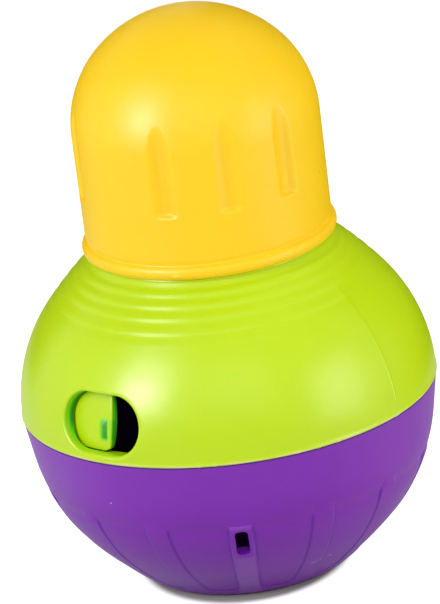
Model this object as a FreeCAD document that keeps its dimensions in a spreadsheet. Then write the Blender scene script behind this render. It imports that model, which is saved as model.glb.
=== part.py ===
import FreeCAD, Part
import math
import os
import re
import Sketcher

# Wobble treat dispenser: a yellow screw-on dome, a green upper shell with a sliding door, a purple
# weighted lower shell. Millimetres and degrees, +Z up, origin on the floor under the middle.
# An azimuth is 0 towards the front (-Y) and grows to the right (+X).
SIZES = {
    # floor, foot and the wall of both shells
    "seam_height": 80.0,
    "seam_radius": 92.0,
    "shell_wall": 3.0,
    "fit_gap": 0.1,
    "running_gap": 0.3,
    "fuse_depth": 0.4,
    "foot_height": 1.0,
    "foot_groove": 2.0,
    "foot_margin": 1.2,
    "foot_width": 10.0,
    "base_floor": 4.2,
    # lower shell outline: a cone, a belly arc and a heel arc
    "base_draft": 9.15,
    "belly_top": 63.0,
    "belly_arc": 82.65,
    "belly_angle": 43.6,
    "heel_arc": 200.0,
    "heel_rise": 0.8,
    "heel_round": 1.5,
    # tongue and groove of the welded seam
    "tongue_offset": 1.0,
    "tongue_wall": 1.1,
    "tongue_height": 2.0,
    # raised strips, the ring that they run into and the two outlet holes
    "strip_count": 14,
    "strip_width": 10.4,
    "strip_drop": 31.0,
    "strip_rise": 0.6,
    "ring_rise": 4.4,
    "hole_width": 6.5,
    "hole_drop": 34.0,
    "hole_height": 13.5,
    "hole_azimuth": -1.8,
    # weight, its cradle and its cover
    "weight_margin": 5.4,
    "weight_height": 10.0,
    "weight_bore": 5.0,
    "weight_chamfer": 1.0,
    "cradle_wall": 2.5,
    "cradle_height": 9.0,
    "peg_height": 7.0,
    "pad_inset": 2.0,
    "pad_height": 6.3,
    "boss_count": 4,
    "boss_margin": 11.6,
    "boss_width": 8.0,
    "cover_wall": 2.5,
    "cover_flat": 33.0,
    "cover_crown": 12.0,
    "cover_rise": 6.0,
    # screws
    "screw_radius": 1.45,
    "screw_hole": 1.8,
    "screw_length": 10.0,
    "screw_tip": 0.6,
    "screw_spare": 1.0,
    "head_radius": 3.0,
    "head_height": 2.0,
    "head_edge": 0.8,
    "drive_reach": 1.6,
    "drive_width": 0.7,
    "drive_depth": 1.1,
    # upper shell outline: a flank arc, a crown arc, a shoulder and the neck
    "flank_arc": 72.0,
    "flank_angle": 38.0,
    "crown_arc": 165.0,
    "crown_angle": 47.8,
    "shoulder_rise": 70.0,
    "shoulder_round": 0.7,
    "neck_radius": 47.3,
    "neck_wall": 2.8,
    "neck_height": 18.0,
    "neck_chamfer": 1.0,
    # ribs between shallow grooves, as angles on the crown arc
    "rib_radius": 1.2,
    "rib_depth": 0.45,
    "rib_one": 40.9,
    "rib_two": 43.2,
    "rib_three": 45.3,
    "rib_four": 46.8,
    "rib_five": 48.9,
    # window and the thicker wall round it
    "window_azimuth": -39.8,
    "window_rise": 16.1,
    "window_length": 40.0,
    "window_end": 12.3,
    "collar_rise": 1.2,
    "collar_margin": 2.4,
    # sliding door: a slice of the flank, with a grip and a thicker leading lip
    "door_wall": 2.5,
    "door_low": 1.0,
    "door_high": 28.0,
    "door_edge": -36.9,
    "door_span": 30.5,
    "door_opening": 9.0,
    "door_closing": 9.0,
    "lip_reach": 1.4,
    "lip_overlap": 1.6,
    "lip_sink": 1.5,
    "lip_rise": 1.4,
    "lip_inset": 3.0,
    "grip_setback": 1.2,
    "grip_span": 3.7,
    "grip_rise": 3.0,
    "grip_low": 7.4,
    "grip_high": 15.8,
    # rails behind the door's upper and lower edges
    "rail_wall": 2.0,
    "rail_foot": 2.3,
    "rail_clear": 0.3,
    "rail_hold": 1.6,
    "low_rail_hold": 0.7,
    "rail_margin": 1.5,
    "low_rail_seat": 0.5,
    # divider plate in the neck and what holds it
    "divider_step": 1.0,
    "divider_wall": 2.5,
    "divider_hub": 6.0,
    "divider_hub_height": 5.0,
    "ledge_height": 2.5,
    "ledge_width": 3.0,
    "lug_count": 3,
    "lug_margin": 4.5,
    "lug_reach": 3.6,
    "lug_width": 7.0,
    "lug_drop": 5.5,
    "lug_screw": 6.5,
    # opening in the divider and the shutter that turns over it
    "throat_inner": 9.0,
    "throat_rim": 3.0,
    "throat_span": 120.0,
    "throat_azimuth": 180.0,
    "shutter_margin": 1.0,
    "shutter_wall": 2.5,
    "shutter_turn": 120.0,
    "stop_radius": 1.5,
    "stop_margin": 10.0,
    "stop_angle": 240.0,
    "stop_height": 2.4,
    "fin_inner": 12.0,
    "fin_margin": 6.0,
    "fin_wall": 3.0,
    "fin_height": 10.0,
    "fin_slope": 3.0,
    "pivot_radius": 3.0,
    "pivot_gap": 0.05,
    "pivot_head": 6.0,
    "washer_radius": 6.5,
    "washer_wall": 0.8,
    # seal and dome
    "seal_wall": 1.5,
    "seal_width": 1.5,
    "dome_wall": 3.1,
    "dome_gap": 0.6,
    "bead_rise": 1.9,
    "bead_height": 5.35,
    "bead_sag": 1.2,
    "bead_groove": 0.5,
    "groove_height": 0.6,
    "groove_fade": 1.2,
    "dome_side": 54.0,
    "dome_arc": 48.9,
    "dome_angle": 45.0,
    "slot_rise": 27.0,
    "slot_height": 41.0,
    "slot_width": 13.0,
    "slot_foot": 2.5,
    "slot_depth": 1.5,
    "slot_step": 30.0,
    "slot_row": 3,
    "slot_groups": 3,
    "dome_azimuth": -19.3,
    # quick thread between the neck and the dome
    "thread_starts": 3,
    "thread_lead": 12.0,
    "thread_rise": 5.0,
    "thread_depth": 3.1,
    "thread_gap": 0.5,
    "thread_root": 1.25,
    "thread_crest": 0.75,
    "neck_thread_span": 105.0,
    "dome_thread_span": 50.0,
}

FULL_TURN = 360
document = FreeCAD.newDocument("treat_dispenser")
sheet = document.addObject("Spreadsheet::Sheet", "sizes")
for row, (alias, number) in enumerate(SIZES.items(), start=1):
    sheet.set("A%d" % row, alias)
    sheet.set("B%d" % row, str(number))
    sheet.setAlias("B%d" % row, alias)
document.recompute()


def bound(text):
    """Rewrite size names as references to the spreadsheet."""
    return re.sub(r"[a-z][a-z_]*", lambda word: "sizes." + word[0] if word[0] in SIZES else word[0], text)


def value(text):
    """Work a formula out as a number."""
    result = sheet.evalExpression(bound(text))
    return float(getattr(result, "Value", result))


def radial(centre, radius, angle):
    """A corner on an arc: centre is a pair of formulas."""
    across = "%s + (%s)*cos(%s)" % (centre[0], radius, angle)
    up = "%s + (%s)*sin(%s)" % (centre[1], radius, angle)
    return (across, up)


def new_body(label, azimuth="90"):
    """A body whose own +X looks towards the azimuth."""
    body = document.addObject("PartDesign::Body", label)
    body.Label = label
    body.Placement = FreeCAD.Placement(FreeCAD.Vector(), FreeCAD.Rotation(FreeCAD.Vector(0, 0, 1), 1))
    body.setExpression("Placement.Rotation.Angle", bound("(%s) - 90" % azimuth))
    return body


def new_sketch(body, name, plane, height=None, turn=None):
    """A sketch on one of the body's own planes, raised along it or turned about the upright."""
    sketch = body.newObject("Sketcher::SketchObject", name)
    sketch.AttachmentSupport = [(find_plane(body, plane), "")]
    sketch.MapMode = "FlatFace"
    if height is not None:
        sketch.setExpression("AttachmentOffset.Base.z", bound(height))
    if turn is not None:
        upright = FreeCAD.Rotation(FreeCAD.Vector(0, 1, 0), 1)
        sketch.AttachmentOffset = FreeCAD.Placement(FreeCAD.Vector(), upright)
        sketch.setExpression("AttachmentOffset.Rotation.Angle", bound(turn))
    return sketch


def find_plane(body, role):
    return next(plane for plane in body.Origin.OriginFeatures if plane.Role == role)


def add_arc(sketch, start, stop, radius, side):
    """An arc of under a half circle whose centre lies on the given side of the way from start to stop."""
    chord = stop - start
    reach = math.sqrt(radius ** 2 - (chord.Length / 2) ** 2)
    sign = 1 if side == "left" else -1
    centre = (start + stop) / 2 + FreeCAD.Vector(-chord.y, chord.x, 0).normalize() * reach * sign
    circle = Part.Circle(centre, FreeCAD.Vector(0, 0, 1), radius)
    first, last = angle_of(start - centre), angle_of(stop - centre)
    if side == "left":
        return sketch.addGeometry(Part.ArcOfCircle(circle, first, last)), 1, 2
    return sketch.addGeometry(Part.ArcOfCircle(circle, last, first)), 2, 1


def angle_of(vector):
    return math.atan2(vector.y, vector.x)


def bind(sketch, kind, *where, to):
    index = sketch.addConstraint(Sketcher.Constraint(kind, *where, value(to)))
    sketch.setExpression("Constraints[%d]" % index, bound(to))


def pin_point(sketch, edge, end, across, up):
    """Tie one end of an edge to two formulas; a plain 0 puts it on the axis."""
    if across == "0":
        sketch.addConstraint(Sketcher.Constraint("PointOnObject", edge, end, -2))
    else:
        bind(sketch, "DistanceX", -1, 1, edge, end, to=across)
    if up == "0":
        sketch.addConstraint(Sketcher.Constraint("PointOnObject", edge, end, -1))
    else:
        bind(sketch, "DistanceY", -1, 1, edge, end, to=up)


def add_outline(sketch, corners):
    """A closed outline. A corner is two formulas, and two more where an arc leaves it: radius and side."""
    points = [FreeCAD.Vector(value(corner[0]), value(corner[1]), 0) for corner in corners]
    ends = []
    for index, corner in enumerate(corners):
        start, stop = points[index], points[(index + 1) % len(points)]
        if len(corner) == 2:
            ends.append((sketch.addGeometry(Part.LineSegment(start, stop)), 1, 2))
        else:
            ends.append(add_arc(sketch, start, stop, value(corner[2]), corner[3]))
    for index, (edge, head, tail) in enumerate(ends):
        following, next_head, _ = ends[(index + 1) % len(ends)]
        sketch.addConstraint(Sketcher.Constraint("Coincident", edge, tail, following, next_head))
    for (edge, head, _), corner in zip(ends, corners):
        pin_point(sketch, edge, head, corner[0], corner[1])
        if len(corner) > 2:
            bind(sketch, "Radius", edge, to=corner[2])


def add_circle(sketch, across, up, radius):
    centre = FreeCAD.Vector(value(across), value(up), 0)
    edge = sketch.addGeometry(Part.Circle(centre, FreeCAD.Vector(0, 0, 1), value(radius)))
    pin_point(sketch, edge, 3, across, up)
    bind(sketch, "Radius", edge, to=radius)


def rectangle(left, low, right, high):
    return [(left, low), (right, low), (right, high), (left, high)]


def revolve(body, name, sketch, sweep=None, kind="PartDesign::Revolution"):
    """Turn a section about the upright: all round, or a sweep centred on the sketch's plane."""
    feature = body.newObject(kind, name)
    feature.Profile = sketch
    feature.ReferenceAxis = (sketch, ["V_Axis"])
    feature.Angle = FULL_TURN
    if sweep is not None:
        feature.Midplane = True
        feature.setExpression("Angle", bound(sweep))
    return feature


def pad(body, name, sketch, length, both=False, reverse=False):
    feature = body.newObject("PartDesign::Pad", name)
    feature.Profile = sketch
    feature.SideType = "Symmetric" if both else "One side"
    feature.Reversed = reverse
    feature.setExpression("Length", bound(length))
    return feature


def pocket(body, name, sketch, length, both=False, reverse=False):
    feature = body.newObject("PartDesign::Pocket", name)
    feature.Profile = sketch
    feature.SideType = "Symmetric" if both else "One side"
    feature.Reversed = reverse
    feature.setExpression("Length", bound(length))
    return feature


def around(body, name, feature, count):
    """Repeat a feature evenly about the upright."""
    pattern = body.newObject("PartDesign::PolarPattern", name)
    pattern.Originals = [feature]
    pattern.Axis = (next(axis for axis in body.Origin.OriginFeatures if axis.Role == "Z_Axis"), [""])
    pattern.Angle = FULL_TURN
    pattern.setExpression("Occurrences", bound(count))
    body.Tip = pattern
    return pattern


def across_at(centre, radius, height):
    """How far from the upright an arc is at a height."""
    return "%s + sqrt((%s)^2 - (%s - (%s))^2)" % (centre[0], radius, height, centre[1])


def under_at(centre, radius, across):
    """How high the lower half of an arc is at a distance from the upright."""
    return "%s - sqrt((%s)^2 - (%s - (%s))^2)" % (centre[1], radius, across, centre[0])


def helix(body, name, sketch, span):
    """Wind a thread section upwards, right-handed, through a span."""
    feature = body.newObject("PartDesign::AdditiveHelix", name)
    feature.Profile = sketch
    feature.ReferenceAxis = (sketch, ["V_Axis"])
    feature.Mode = "pitch-height-angle"
    feature.setExpression("Pitch", bound("thread_lead"))
    feature.setExpression("Height", bound("thread_lead*(%s)/360" % span))
    return feature


def arc_band(centre, outer, inner, low, high):
    """The outline of a slice between two arcs and two angles."""
    return [
        radial(centre, inner, low),
        radial(centre, outer, low) + (outer, "left"),
        radial(centre, outer, high),
        radial(centre, inner, high) + (inner, "right"),
    ]


def sector(inner, outer, first, last):
    """The outline of a sector in plan between two radii and two angles."""
    hub = ("0", "0")
    return [
        radial(hub, inner, first),
        radial(hub, outer, first) + (outer, "left"),
        radial(hub, outer, last),
        radial(hub, inner, last) + (inner, "right"),
    ]


# heights and places that several pieces share
FLOOR_TOP = "(foot_height + base_floor)"
BOSS_TOP = "(%s + weight_height + pad_height)" % FLOOR_TOP
HEEL_HEIGHT = "(foot_height + heel_rise)"
RING_TOP = "(foot_height + ring_rise)"
SHOULDER = "(seam_height + shoulder_rise)"
NECK_INNER = "(neck_radius - neck_wall)"
LEDGE_TOP = "(%s + divider_step)" % SHOULDER
DIVIDER_TOP = "(%s + divider_wall)" % LEDGE_TOP
SHUTTER_LOW = "(%s + running_gap)" % DIVIDER_TOP
SHUTTER_TOP = "(%s + shutter_wall)" % SHUTTER_LOW
WASHER_LOW = "(%s + fit_gap)" % SHUTTER_TOP
PIVOT_SEAT = "(%s + washer_wall + fit_gap)" % WASHER_LOW
SEAL_INNER = "(neck_radius + thread_depth + running_gap)"
SHOULDER_RADIUS = "(%s + seal_width)" % SEAL_INNER
DOME_INNER = "(neck_radius + thread_depth + thread_gap)"
DOME_RADIUS = "(%s + dome_wall)" % DOME_INNER
SEAL_LOW = "(%s + running_gap)" % SHOULDER
SEAL_TOP = "(%s + seal_wall)" % SEAL_LOW
DOME_RIM = "(%s + dome_gap)" % SHOULDER
DOME_STEP = "(%s + running_gap)" % SEAL_TOP
DOME_SPRING = "(%s + dome_side)" % SHOULDER
WINDOW_HEIGHT = "(seam_height + window_rise)"
LUG_CIRCLE = "(%s - lug_margin)" % NECK_INNER
SHUTTER_RADIUS = "(%s - head_radius - shutter_margin)" % LUG_CIRCLE
THROAT_OUTER = "(%s - throat_rim)" % SHUTTER_RADIUS
STOP_CIRCLE = "(%s - stop_margin)" % SHUTTER_RADIUS
FIN_OUTER = "(%s - fin_margin)" % SHUTTER_RADIUS
CONE_FOOT = ("(seam_radius - (seam_height - belly_top)*tan(base_draft))", "belly_top")
BELLY = radial(CONE_FOOT, "-belly_arc", "-base_draft")
HEEL = radial(BELLY, "belly_arc - heel_arc", "-belly_angle")
HEEL_RADIUS = "(%s)" % across_at(HEEL, "heel_arc", HEEL_HEIGHT)
FOOT_OUTER = "(%s - heel_round - foot_margin)" % HEEL_RADIUS
FOOT_INNER = "(%s - foot_width)" % FOOT_OUTER
CRADLE_OUTER = "(%s - weight_margin)" % across_at(HEEL, "heel_arc - shell_wall", FLOOR_TOP)
WEIGHT_RADIUS = "(%s - cradle_wall - running_gap)" % CRADLE_OUTER
BOSS_CIRCLE = "(%s - boss_margin)" % across_at(BELLY, "belly_arc - shell_wall", BOSS_TOP)
FLANK = ("(seam_radius - flank_arc)", "seam_height")
CROWN = radial(FLANK, "flank_arc - crown_arc", "flank_angle")
DOOR_OUTER = "(flank_arc - shell_wall - collar_rise - running_gap)"
DOOR_INNER = "(%s - door_wall)" % DOOR_OUTER
RAIL_FACE = "(%s - running_gap)" % DOOR_INNER
RAIL_BACK = "(%s - rail_wall)" % RAIL_FACE
RAIL_AZIMUTH = "door_edge + (lip_reach + door_closing - door_span - door_opening)/2"
RAIL_SPAN = "door_span + lip_reach + door_opening + door_closing + 2*rail_margin"
LUG_TURN = "(throat_azimuth - window_azimuth)"
HALF_THROAT = "(throat_span/2)"
DOME_SIDE_ARC = ("(%s - dome_arc)" % DOME_RADIUS, DOME_SPRING)
DOME_TURN = "(%s - dome_arc + dome_arc*cos(dome_angle))" % DOME_RADIUS
DOME_CENTRE = "(%s + dome_arc*sin(dome_angle) - %s*tan(dome_angle))" % (DOME_SPRING, DOME_TURN)
DOME_TOP_ARC = "(%s/cos(dome_angle))" % DOME_TURN


def lower_shell():
    body = new_body("lower_shell", "hole_azimuth + 90")
    section = new_sketch(body, "lower_section", "XZ_Plane")
    add_outline(section, [
        ("0", "foot_height"),
        (FOOT_INNER + " - fit_gap", "foot_height"),
        (FOOT_INNER + " - fit_gap", "foot_height + foot_groove"),
        (FOOT_OUTER + " + fit_gap", "foot_height + foot_groove"),
        (FOOT_OUTER + " + fit_gap", "foot_height"),
        (HEEL_RADIUS + " - heel_round", "foot_height"),
        (HEEL_RADIUS, HEEL_HEIGHT, "heel_arc", "left"),
        radial(BELLY, "belly_arc", "-belly_angle") + ("belly_arc", "left"),
        CONE_FOOT,
        ("seam_radius", "seam_height"),
        ("seam_radius - tongue_offset", "seam_height"),
        ("seam_radius - tongue_offset", "seam_height + tongue_height"),
        ("seam_radius - tongue_offset - tongue_wall", "seam_height + tongue_height"),
        ("seam_radius - tongue_offset - tongue_wall", "seam_height"),
        ("seam_radius - shell_wall/cos(base_draft)", "seam_height"),
        radial(BELLY, "belly_arc - shell_wall", "-base_draft") + ("belly_arc - shell_wall", "right"),
        radial(BELLY, "belly_arc - shell_wall", "-belly_angle") + ("heel_arc - shell_wall", "right"),
        (across_at(HEEL, "heel_arc - shell_wall", FLOOR_TOP), FLOOR_TOP),
        ("0", FLOOR_TOP),
    ])
    revolve(body, "lower_wall", section)
    cradle = new_sketch(body, "cradle_section", "XZ_Plane")
    cradle_inner = WEIGHT_RADIUS + " + running_gap"
    add_outline(cradle, rectangle(
        cradle_inner, FLOOR_TOP + " - fuse_depth", CRADLE_OUTER, FLOOR_TOP + " + cradle_height"))
    revolve(body, "cradle", cradle)
    peg = new_sketch(body, "peg_section", "XZ_Plane")
    add_outline(peg, rectangle(
        "0", FLOOR_TOP + " - fuse_depth", "weight_bore - running_gap", FLOOR_TOP + " + peg_height"))
    revolve(body, "weight_peg", peg)
    near, far = BOSS_CIRCLE + " - boss_width/2", BOSS_CIRCLE + " + boss_width/2"
    boss = new_sketch(body, "boss_section", "XZ_Plane")
    add_outline(boss, [
        (near, under_at(HEEL, "heel_arc - shell_wall/2", near)),
        (far, under_at(HEEL, "heel_arc - shell_wall/2", far)),
        (far, BOSS_TOP),
        (near, BOSS_TOP),
    ])
    around(body, "bosses", pad(body, "boss", boss, "boss_width", both=True), "boss_count")
    pilot = new_sketch(body, "pilot_circle", "XY_Plane", height=BOSS_TOP)
    add_circle(pilot, BOSS_CIRCLE, "0", "screw_radius + pivot_gap")
    depth = "screw_length - cover_wall + screw_spare"
    around(body, "pilots", pocket(body, "pilot", pilot, depth), "boss_count")
    sunk, proud = "heel_arc - fuse_depth", "heel_arc + strip_rise"
    ring = new_sketch(body, "ring_section", "XZ_Plane")
    add_outline(ring, [
        (across_at(HEEL, sunk, HEEL_HEIGHT), HEEL_HEIGHT),
        (across_at(HEEL, proud, HEEL_HEIGHT), HEEL_HEIGHT, proud, "left"),
        (across_at(HEEL, proud, RING_TOP), RING_TOP),
        (across_at(HEEL, sunk, RING_TOP), RING_TOP, sunk, "right"),
    ])
    revolve(body, "bottom_ring", ring)
    strip_low, strip_top = RING_TOP + " - fuse_depth", "seam_height - strip_drop"
    belly_sunk, belly_proud = "belly_arc - fuse_depth", "belly_arc + strip_rise"
    strip = new_sketch(body, "strip_section", "YZ_Plane")
    add_outline(strip, [
        (across_at(HEEL, sunk, strip_low), strip_low),
        (across_at(HEEL, proud, strip_low), strip_low, proud, "left"),
        radial(BELLY, belly_proud, "-belly_angle") + (belly_proud, "left"),
        (across_at(BELLY, belly_proud, strip_top), strip_top),
        (across_at(BELLY, belly_sunk, strip_top), strip_top, belly_sunk, "right"),
        radial(BELLY, belly_sunk, "-belly_angle") + (sunk, "right"),
    ])
    around(body, "strips", pad(body, "strip", strip, "strip_width", both=True), "strip_count")
    hole = new_sketch(body, "hole_outline", "XZ_Plane")
    hole_top = "seam_height - hole_drop"
    add_outline(hole, rectangle("-hole_width/2", hole_top + " - hole_height", "hole_width/2", hole_top))
    pocket(body, "outlet_holes", hole, "4*seam_radius", both=True)
    return body


def foot_ring():
    body = new_body("foot_ring")
    section = new_sketch(body, "foot_section", "XZ_Plane")
    add_outline(section, rectangle(FOOT_INNER, "0", FOOT_OUTER, "foot_height + foot_groove"))
    revolve(body, "foot", section)
    return body


def weight_disc():
    body = new_body("weight_disc")
    top = FLOOR_TOP + " + weight_height"
    section = new_sketch(body, "weight_section", "XZ_Plane")
    add_outline(section, [
        ("weight_bore", FLOOR_TOP),
        (WEIGHT_RADIUS + " - weight_chamfer", FLOOR_TOP),
        (WEIGHT_RADIUS, FLOOR_TOP + " + weight_chamfer"),
        (WEIGHT_RADIUS, top + " - weight_chamfer"),
        (WEIGHT_RADIUS + " - weight_chamfer", top),
        ("weight_bore", top),
    ])
    revolve(body, "weight", section)
    return body


def weight_pad():
    body = new_body("weight_pad")
    section = new_sketch(body, "pad_section", "XZ_Plane")
    low = FLOOR_TOP + " + weight_height"
    add_outline(section, rectangle("weight_bore", low, WEIGHT_RADIUS + " - pad_inset", BOSS_TOP))
    revolve(body, "soft_pad", section)
    return body


def weight_cover():
    """A crowned inner floor that shuts the weight in and sheds treats towards the wall."""
    body = new_body("weight_cover", "hole_azimuth + 90")
    top = BOSS_TOP + " + cover_wall"
    shift = "cover_wall*tan(atan(cover_rise/(cover_flat - cover_crown))/2)"
    section = new_sketch(body, "cover_section", "XZ_Plane")
    add_outline(section, [
        ("0", BOSS_TOP + " + cover_rise"),
        ("cover_crown", BOSS_TOP + " + cover_rise"),
        ("cover_flat", BOSS_TOP),
        (across_at(BELLY, "belly_arc - shell_wall - running_gap", BOSS_TOP), BOSS_TOP),
        (across_at(BELLY, "belly_arc - shell_wall - running_gap", top), top),
        ("cover_flat + " + shift, top),
        ("cover_crown + " + shift, top + " + cover_rise"),
        ("0", top + " + cover_rise"),
    ])
    revolve(body, "cover", section)
    hole = new_sketch(body, "cover_hole", "XY_Plane", height=top)
    add_circle(hole, BOSS_CIRCLE, "0", "screw_hole")
    around(body, "cover_holes", pocket(body, "cover_hole_cut", hole, "2*cover_wall"), "boss_count")
    return body


def screws(label, azimuth, circle, seat, length, count):
    """Pan-head cross-recess screws in a ring, heads up."""
    body = new_body(label, azimuth)
    body.AllowCompound = True
    tip, top = "(%s - (%s))" % (seat, length), "(%s + head_height)" % seat
    section = new_sketch(body, label + "_section", "XZ_Plane")
    add_outline(section, [
        (circle, tip),
        (circle + " + screw_radius - screw_tip", tip),
        (circle + " + screw_radius", tip + " + screw_tip"),
        (circle + " + screw_radius", seat),
        (circle + " + head_radius", seat),
        (circle + " + head_radius", top + " - head_edge"),
        (circle + " + head_radius - head_edge", top),
        (circle, top),
    ])
    foot, head = FreeCAD.Vector(value(circle), 0, 0), FreeCAD.Vector(value(circle), value(top), 0)
    line = section.addGeometry(Part.LineSegment(foot, head), True)
    pin_point(section, line, 1, circle, "0")
    pin_point(section, line, 2, circle, top)
    screw = revolve(body, label + "_turned", section)
    screw.ReferenceAxis = (section, ["Axis0"])
    recess = new_sketch(body, label + "_recess", "XY_Plane", height=top)
    long, wide = "drive_reach", "drive_width/2"
    add_outline(recess, [
        ("%s - %s" % (circle, long), "-" + wide), ("%s - %s" % (circle, wide), "-" + wide),
        ("%s - %s" % (circle, wide), "-" + long), ("%s + %s" % (circle, wide), "-" + long),
        ("%s + %s" % (circle, wide), "-" + wide), ("%s + %s" % (circle, long), "-" + wide),
        ("%s + %s" % (circle, long), wide), ("%s + %s" % (circle, wide), wide),
        ("%s + %s" % (circle, wide), long), ("%s - %s" % (circle, wide), long),
        ("%s - %s" % (circle, wide), wide), ("%s - %s" % (circle, long), wide),
    ])
    drive = pocket(body, label + "_drive", recess, "drive_depth")
    pattern = around(body, label + "_ring", screw, count)
    pattern.Originals = [screw, drive]
    return body


def upper_shell():
    body = new_body("upper_shell", "window_azimuth")
    section = new_sketch(body, "upper_section", "XZ_Plane")
    groove_near = "seam_radius - tongue_offset - tongue_wall - fit_gap"
    groove_far = "seam_radius - tongue_offset + fit_gap"
    groove_top = "seam_height + tongue_height + running_gap"
    neck_top = SHOULDER + " + neck_height"
    add_outline(section, [
        ("seam_radius", "seam_height", "flank_arc", "left"),
        radial(FLANK, "flank_arc", "flank_angle") + ("crown_arc", "left"),
        radial(CROWN, "crown_arc", "crown_angle"),
        (SHOULDER_RADIUS + " + shoulder_round", SHOULDER + " - shoulder_round"),
        (SHOULDER_RADIUS, SHOULDER),
        ("neck_radius", SHOULDER),
        ("neck_radius", neck_top + " - neck_chamfer"),
        ("neck_radius - neck_chamfer", neck_top),
        (NECK_INNER, neck_top),
        (NECK_INNER, LEDGE_TOP),
        (NECK_INNER + " - ledge_width", LEDGE_TOP),
        (NECK_INNER + " - ledge_width", LEDGE_TOP + " - ledge_height"),
        (NECK_INNER, LEDGE_TOP + " - ledge_height - ledge_width"),
        radial(CROWN, "crown_arc - shell_wall", "crown_angle") + ("crown_arc - shell_wall", "right"),
        radial(FLANK, "flank_arc - shell_wall", "flank_angle") + ("flank_arc - shell_wall", "right"),
        ("seam_radius - shell_wall", "seam_height"),
        (groove_near, "seam_height"),
        (groove_near, groove_top),
        (groove_far, groove_top),
        (groove_far, "seam_height"),
    ])
    revolve(body, "upper_wall", section)
    ribs = new_sketch(body, "rib_grooves", "XZ_Plane")
    for angle in ("rib_one", "rib_two", "rib_three", "rib_four", "rib_five"):
        add_circle(ribs, *radial(CROWN, "crown_arc + rib_radius - rib_depth", angle), "rib_radius")
    revolve(body, "ribs", ribs, kind="PartDesign::Groove")
    collar = new_sketch(body, "collar_section", "XZ_Plane")
    reach = "window_end + collar_margin"
    low, high = "asin((window_rise - (%s))/flank_arc)" % reach, "asin((window_rise + %s)/flank_arc)" % reach
    outer, inner = "flank_arc - shell_wall + fuse_depth", "flank_arc - shell_wall - collar_rise"
    add_outline(collar, arc_band(FLANK, outer, inner, low, high))
    revolve(body, "collar", collar, "2*asin((window_length/2 + collar_margin)/(seam_radius - shell_wall))")
    window = new_sketch(body, "window_outline", "YZ_Plane")
    side = "(window_length/2 - window_end)"
    add_outline(window, [
        ("-" + side, WINDOW_HEIGHT + " - window_end"),
        (side, WINDOW_HEIGHT + " - window_end", "window_end", "left"),
        ("window_length/2", WINDOW_HEIGHT, "window_end", "left"),
        (side, WINDOW_HEIGHT + " + window_end"),
        ("-" + side, WINDOW_HEIGHT + " + window_end", "window_end", "left"),
        ("-window_length/2", WINDOW_HEIGHT, "window_end", "left"),
    ])
    pocket(body, "window", window, "2*seam_radius", reverse=True)
    lug = new_sketch(body, "lug_section", "XZ_Plane", turn=LUG_TURN)
    add_outline(lug, rectangle(
        LUG_CIRCLE + " - lug_reach", LEDGE_TOP + " - lug_drop", NECK_INNER + " + fuse_depth", LEDGE_TOP))
    around(body, "lugs", pad(body, "lug", lug, "lug_width", both=True), "lug_count")
    pilot = new_sketch(body, "lug_pilot", "XY_Plane", height=LEDGE_TOP)
    place = ("%s*cos(%s)" % (LUG_CIRCLE, LUG_TURN), "%s*sin(%s)" % (LUG_CIRCLE, LUG_TURN))
    add_circle(pilot, *place, "screw_radius + pivot_gap")
    around(body, "lug_pilots", pocket(body, "lug_pilot_cut", pilot, "lug_drop + screw_spare"), "lug_count")
    thread = new_sketch(body, "neck_thread_section", "XZ_Plane")
    height = SHOULDER + " + thread_rise"
    add_outline(thread, [
        ("neck_radius - fuse_depth", height + " - thread_root"),
        ("neck_radius + thread_depth", height + " - thread_crest"),
        ("neck_radius + thread_depth", height + " + thread_crest"),
        ("neck_radius - fuse_depth", height + " + thread_root"),
    ])
    around(body, "neck_threads", helix(body, "neck_thread", thread, "neck_thread_span"), "thread_starts")
    return body


def sliding_door():
    """A slice of the flank behind the window, carried round on two rails."""
    body = new_body("sliding_door", "door_edge - door_span/2")
    plate = new_sketch(body, "door_section", "XZ_Plane")
    add_outline(plate, arc_band(FLANK, DOOR_OUTER, DOOR_INNER, "door_low", "door_high"))
    revolve(body, "door_plate", plate, "door_span")
    lip = new_sketch(body, "lip_section", "XZ_Plane", turn="door_span/2 + (lip_reach - lip_overlap)/2")
    lip_outer, lip_inner = DOOR_OUTER + " - lip_sink", DOOR_INNER + " - lip_rise"
    add_outline(lip, arc_band(FLANK, lip_outer, lip_inner, "door_low + lip_inset", "door_high - lip_inset"))
    revolve(body, "door_lip", lip, "lip_reach + lip_overlap")
    grip = new_sketch(body, "grip_section", "XZ_Plane", turn="door_span/2 - grip_setback - grip_span/2")
    add_outline(grip, arc_band(
        FLANK, DOOR_OUTER + " + grip_rise", DOOR_OUTER + " - fuse_depth", "grip_low", "grip_high"))
    revolve(body, "door_grip", grip, "grip_span")
    return body


def door_upper_rail():
    body = new_body("door_upper_rail", RAIL_AZIMUTH)
    section = new_sketch(body, "upper_rail_section", "XZ_Plane")
    back = "flank_arc - shell_wall - fit_gap/2"
    foot_low, foot_high = "door_high + rail_clear", "door_high + rail_clear + rail_foot"
    add_outline(section, [
        radial(FLANK, RAIL_BACK, "door_high - rail_hold"),
        radial(FLANK, RAIL_FACE, "door_high - rail_hold") + (RAIL_FACE, "left"),
        radial(FLANK, RAIL_FACE, foot_low),
        radial(FLANK, back, foot_low) + (back, "left"),
        radial(FLANK, back, foot_high),
        radial(FLANK, RAIL_BACK, foot_high) + (RAIL_BACK, "right"),
    ])
    revolve(body, "upper_rail", section, RAIL_SPAN)
    return body


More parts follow.
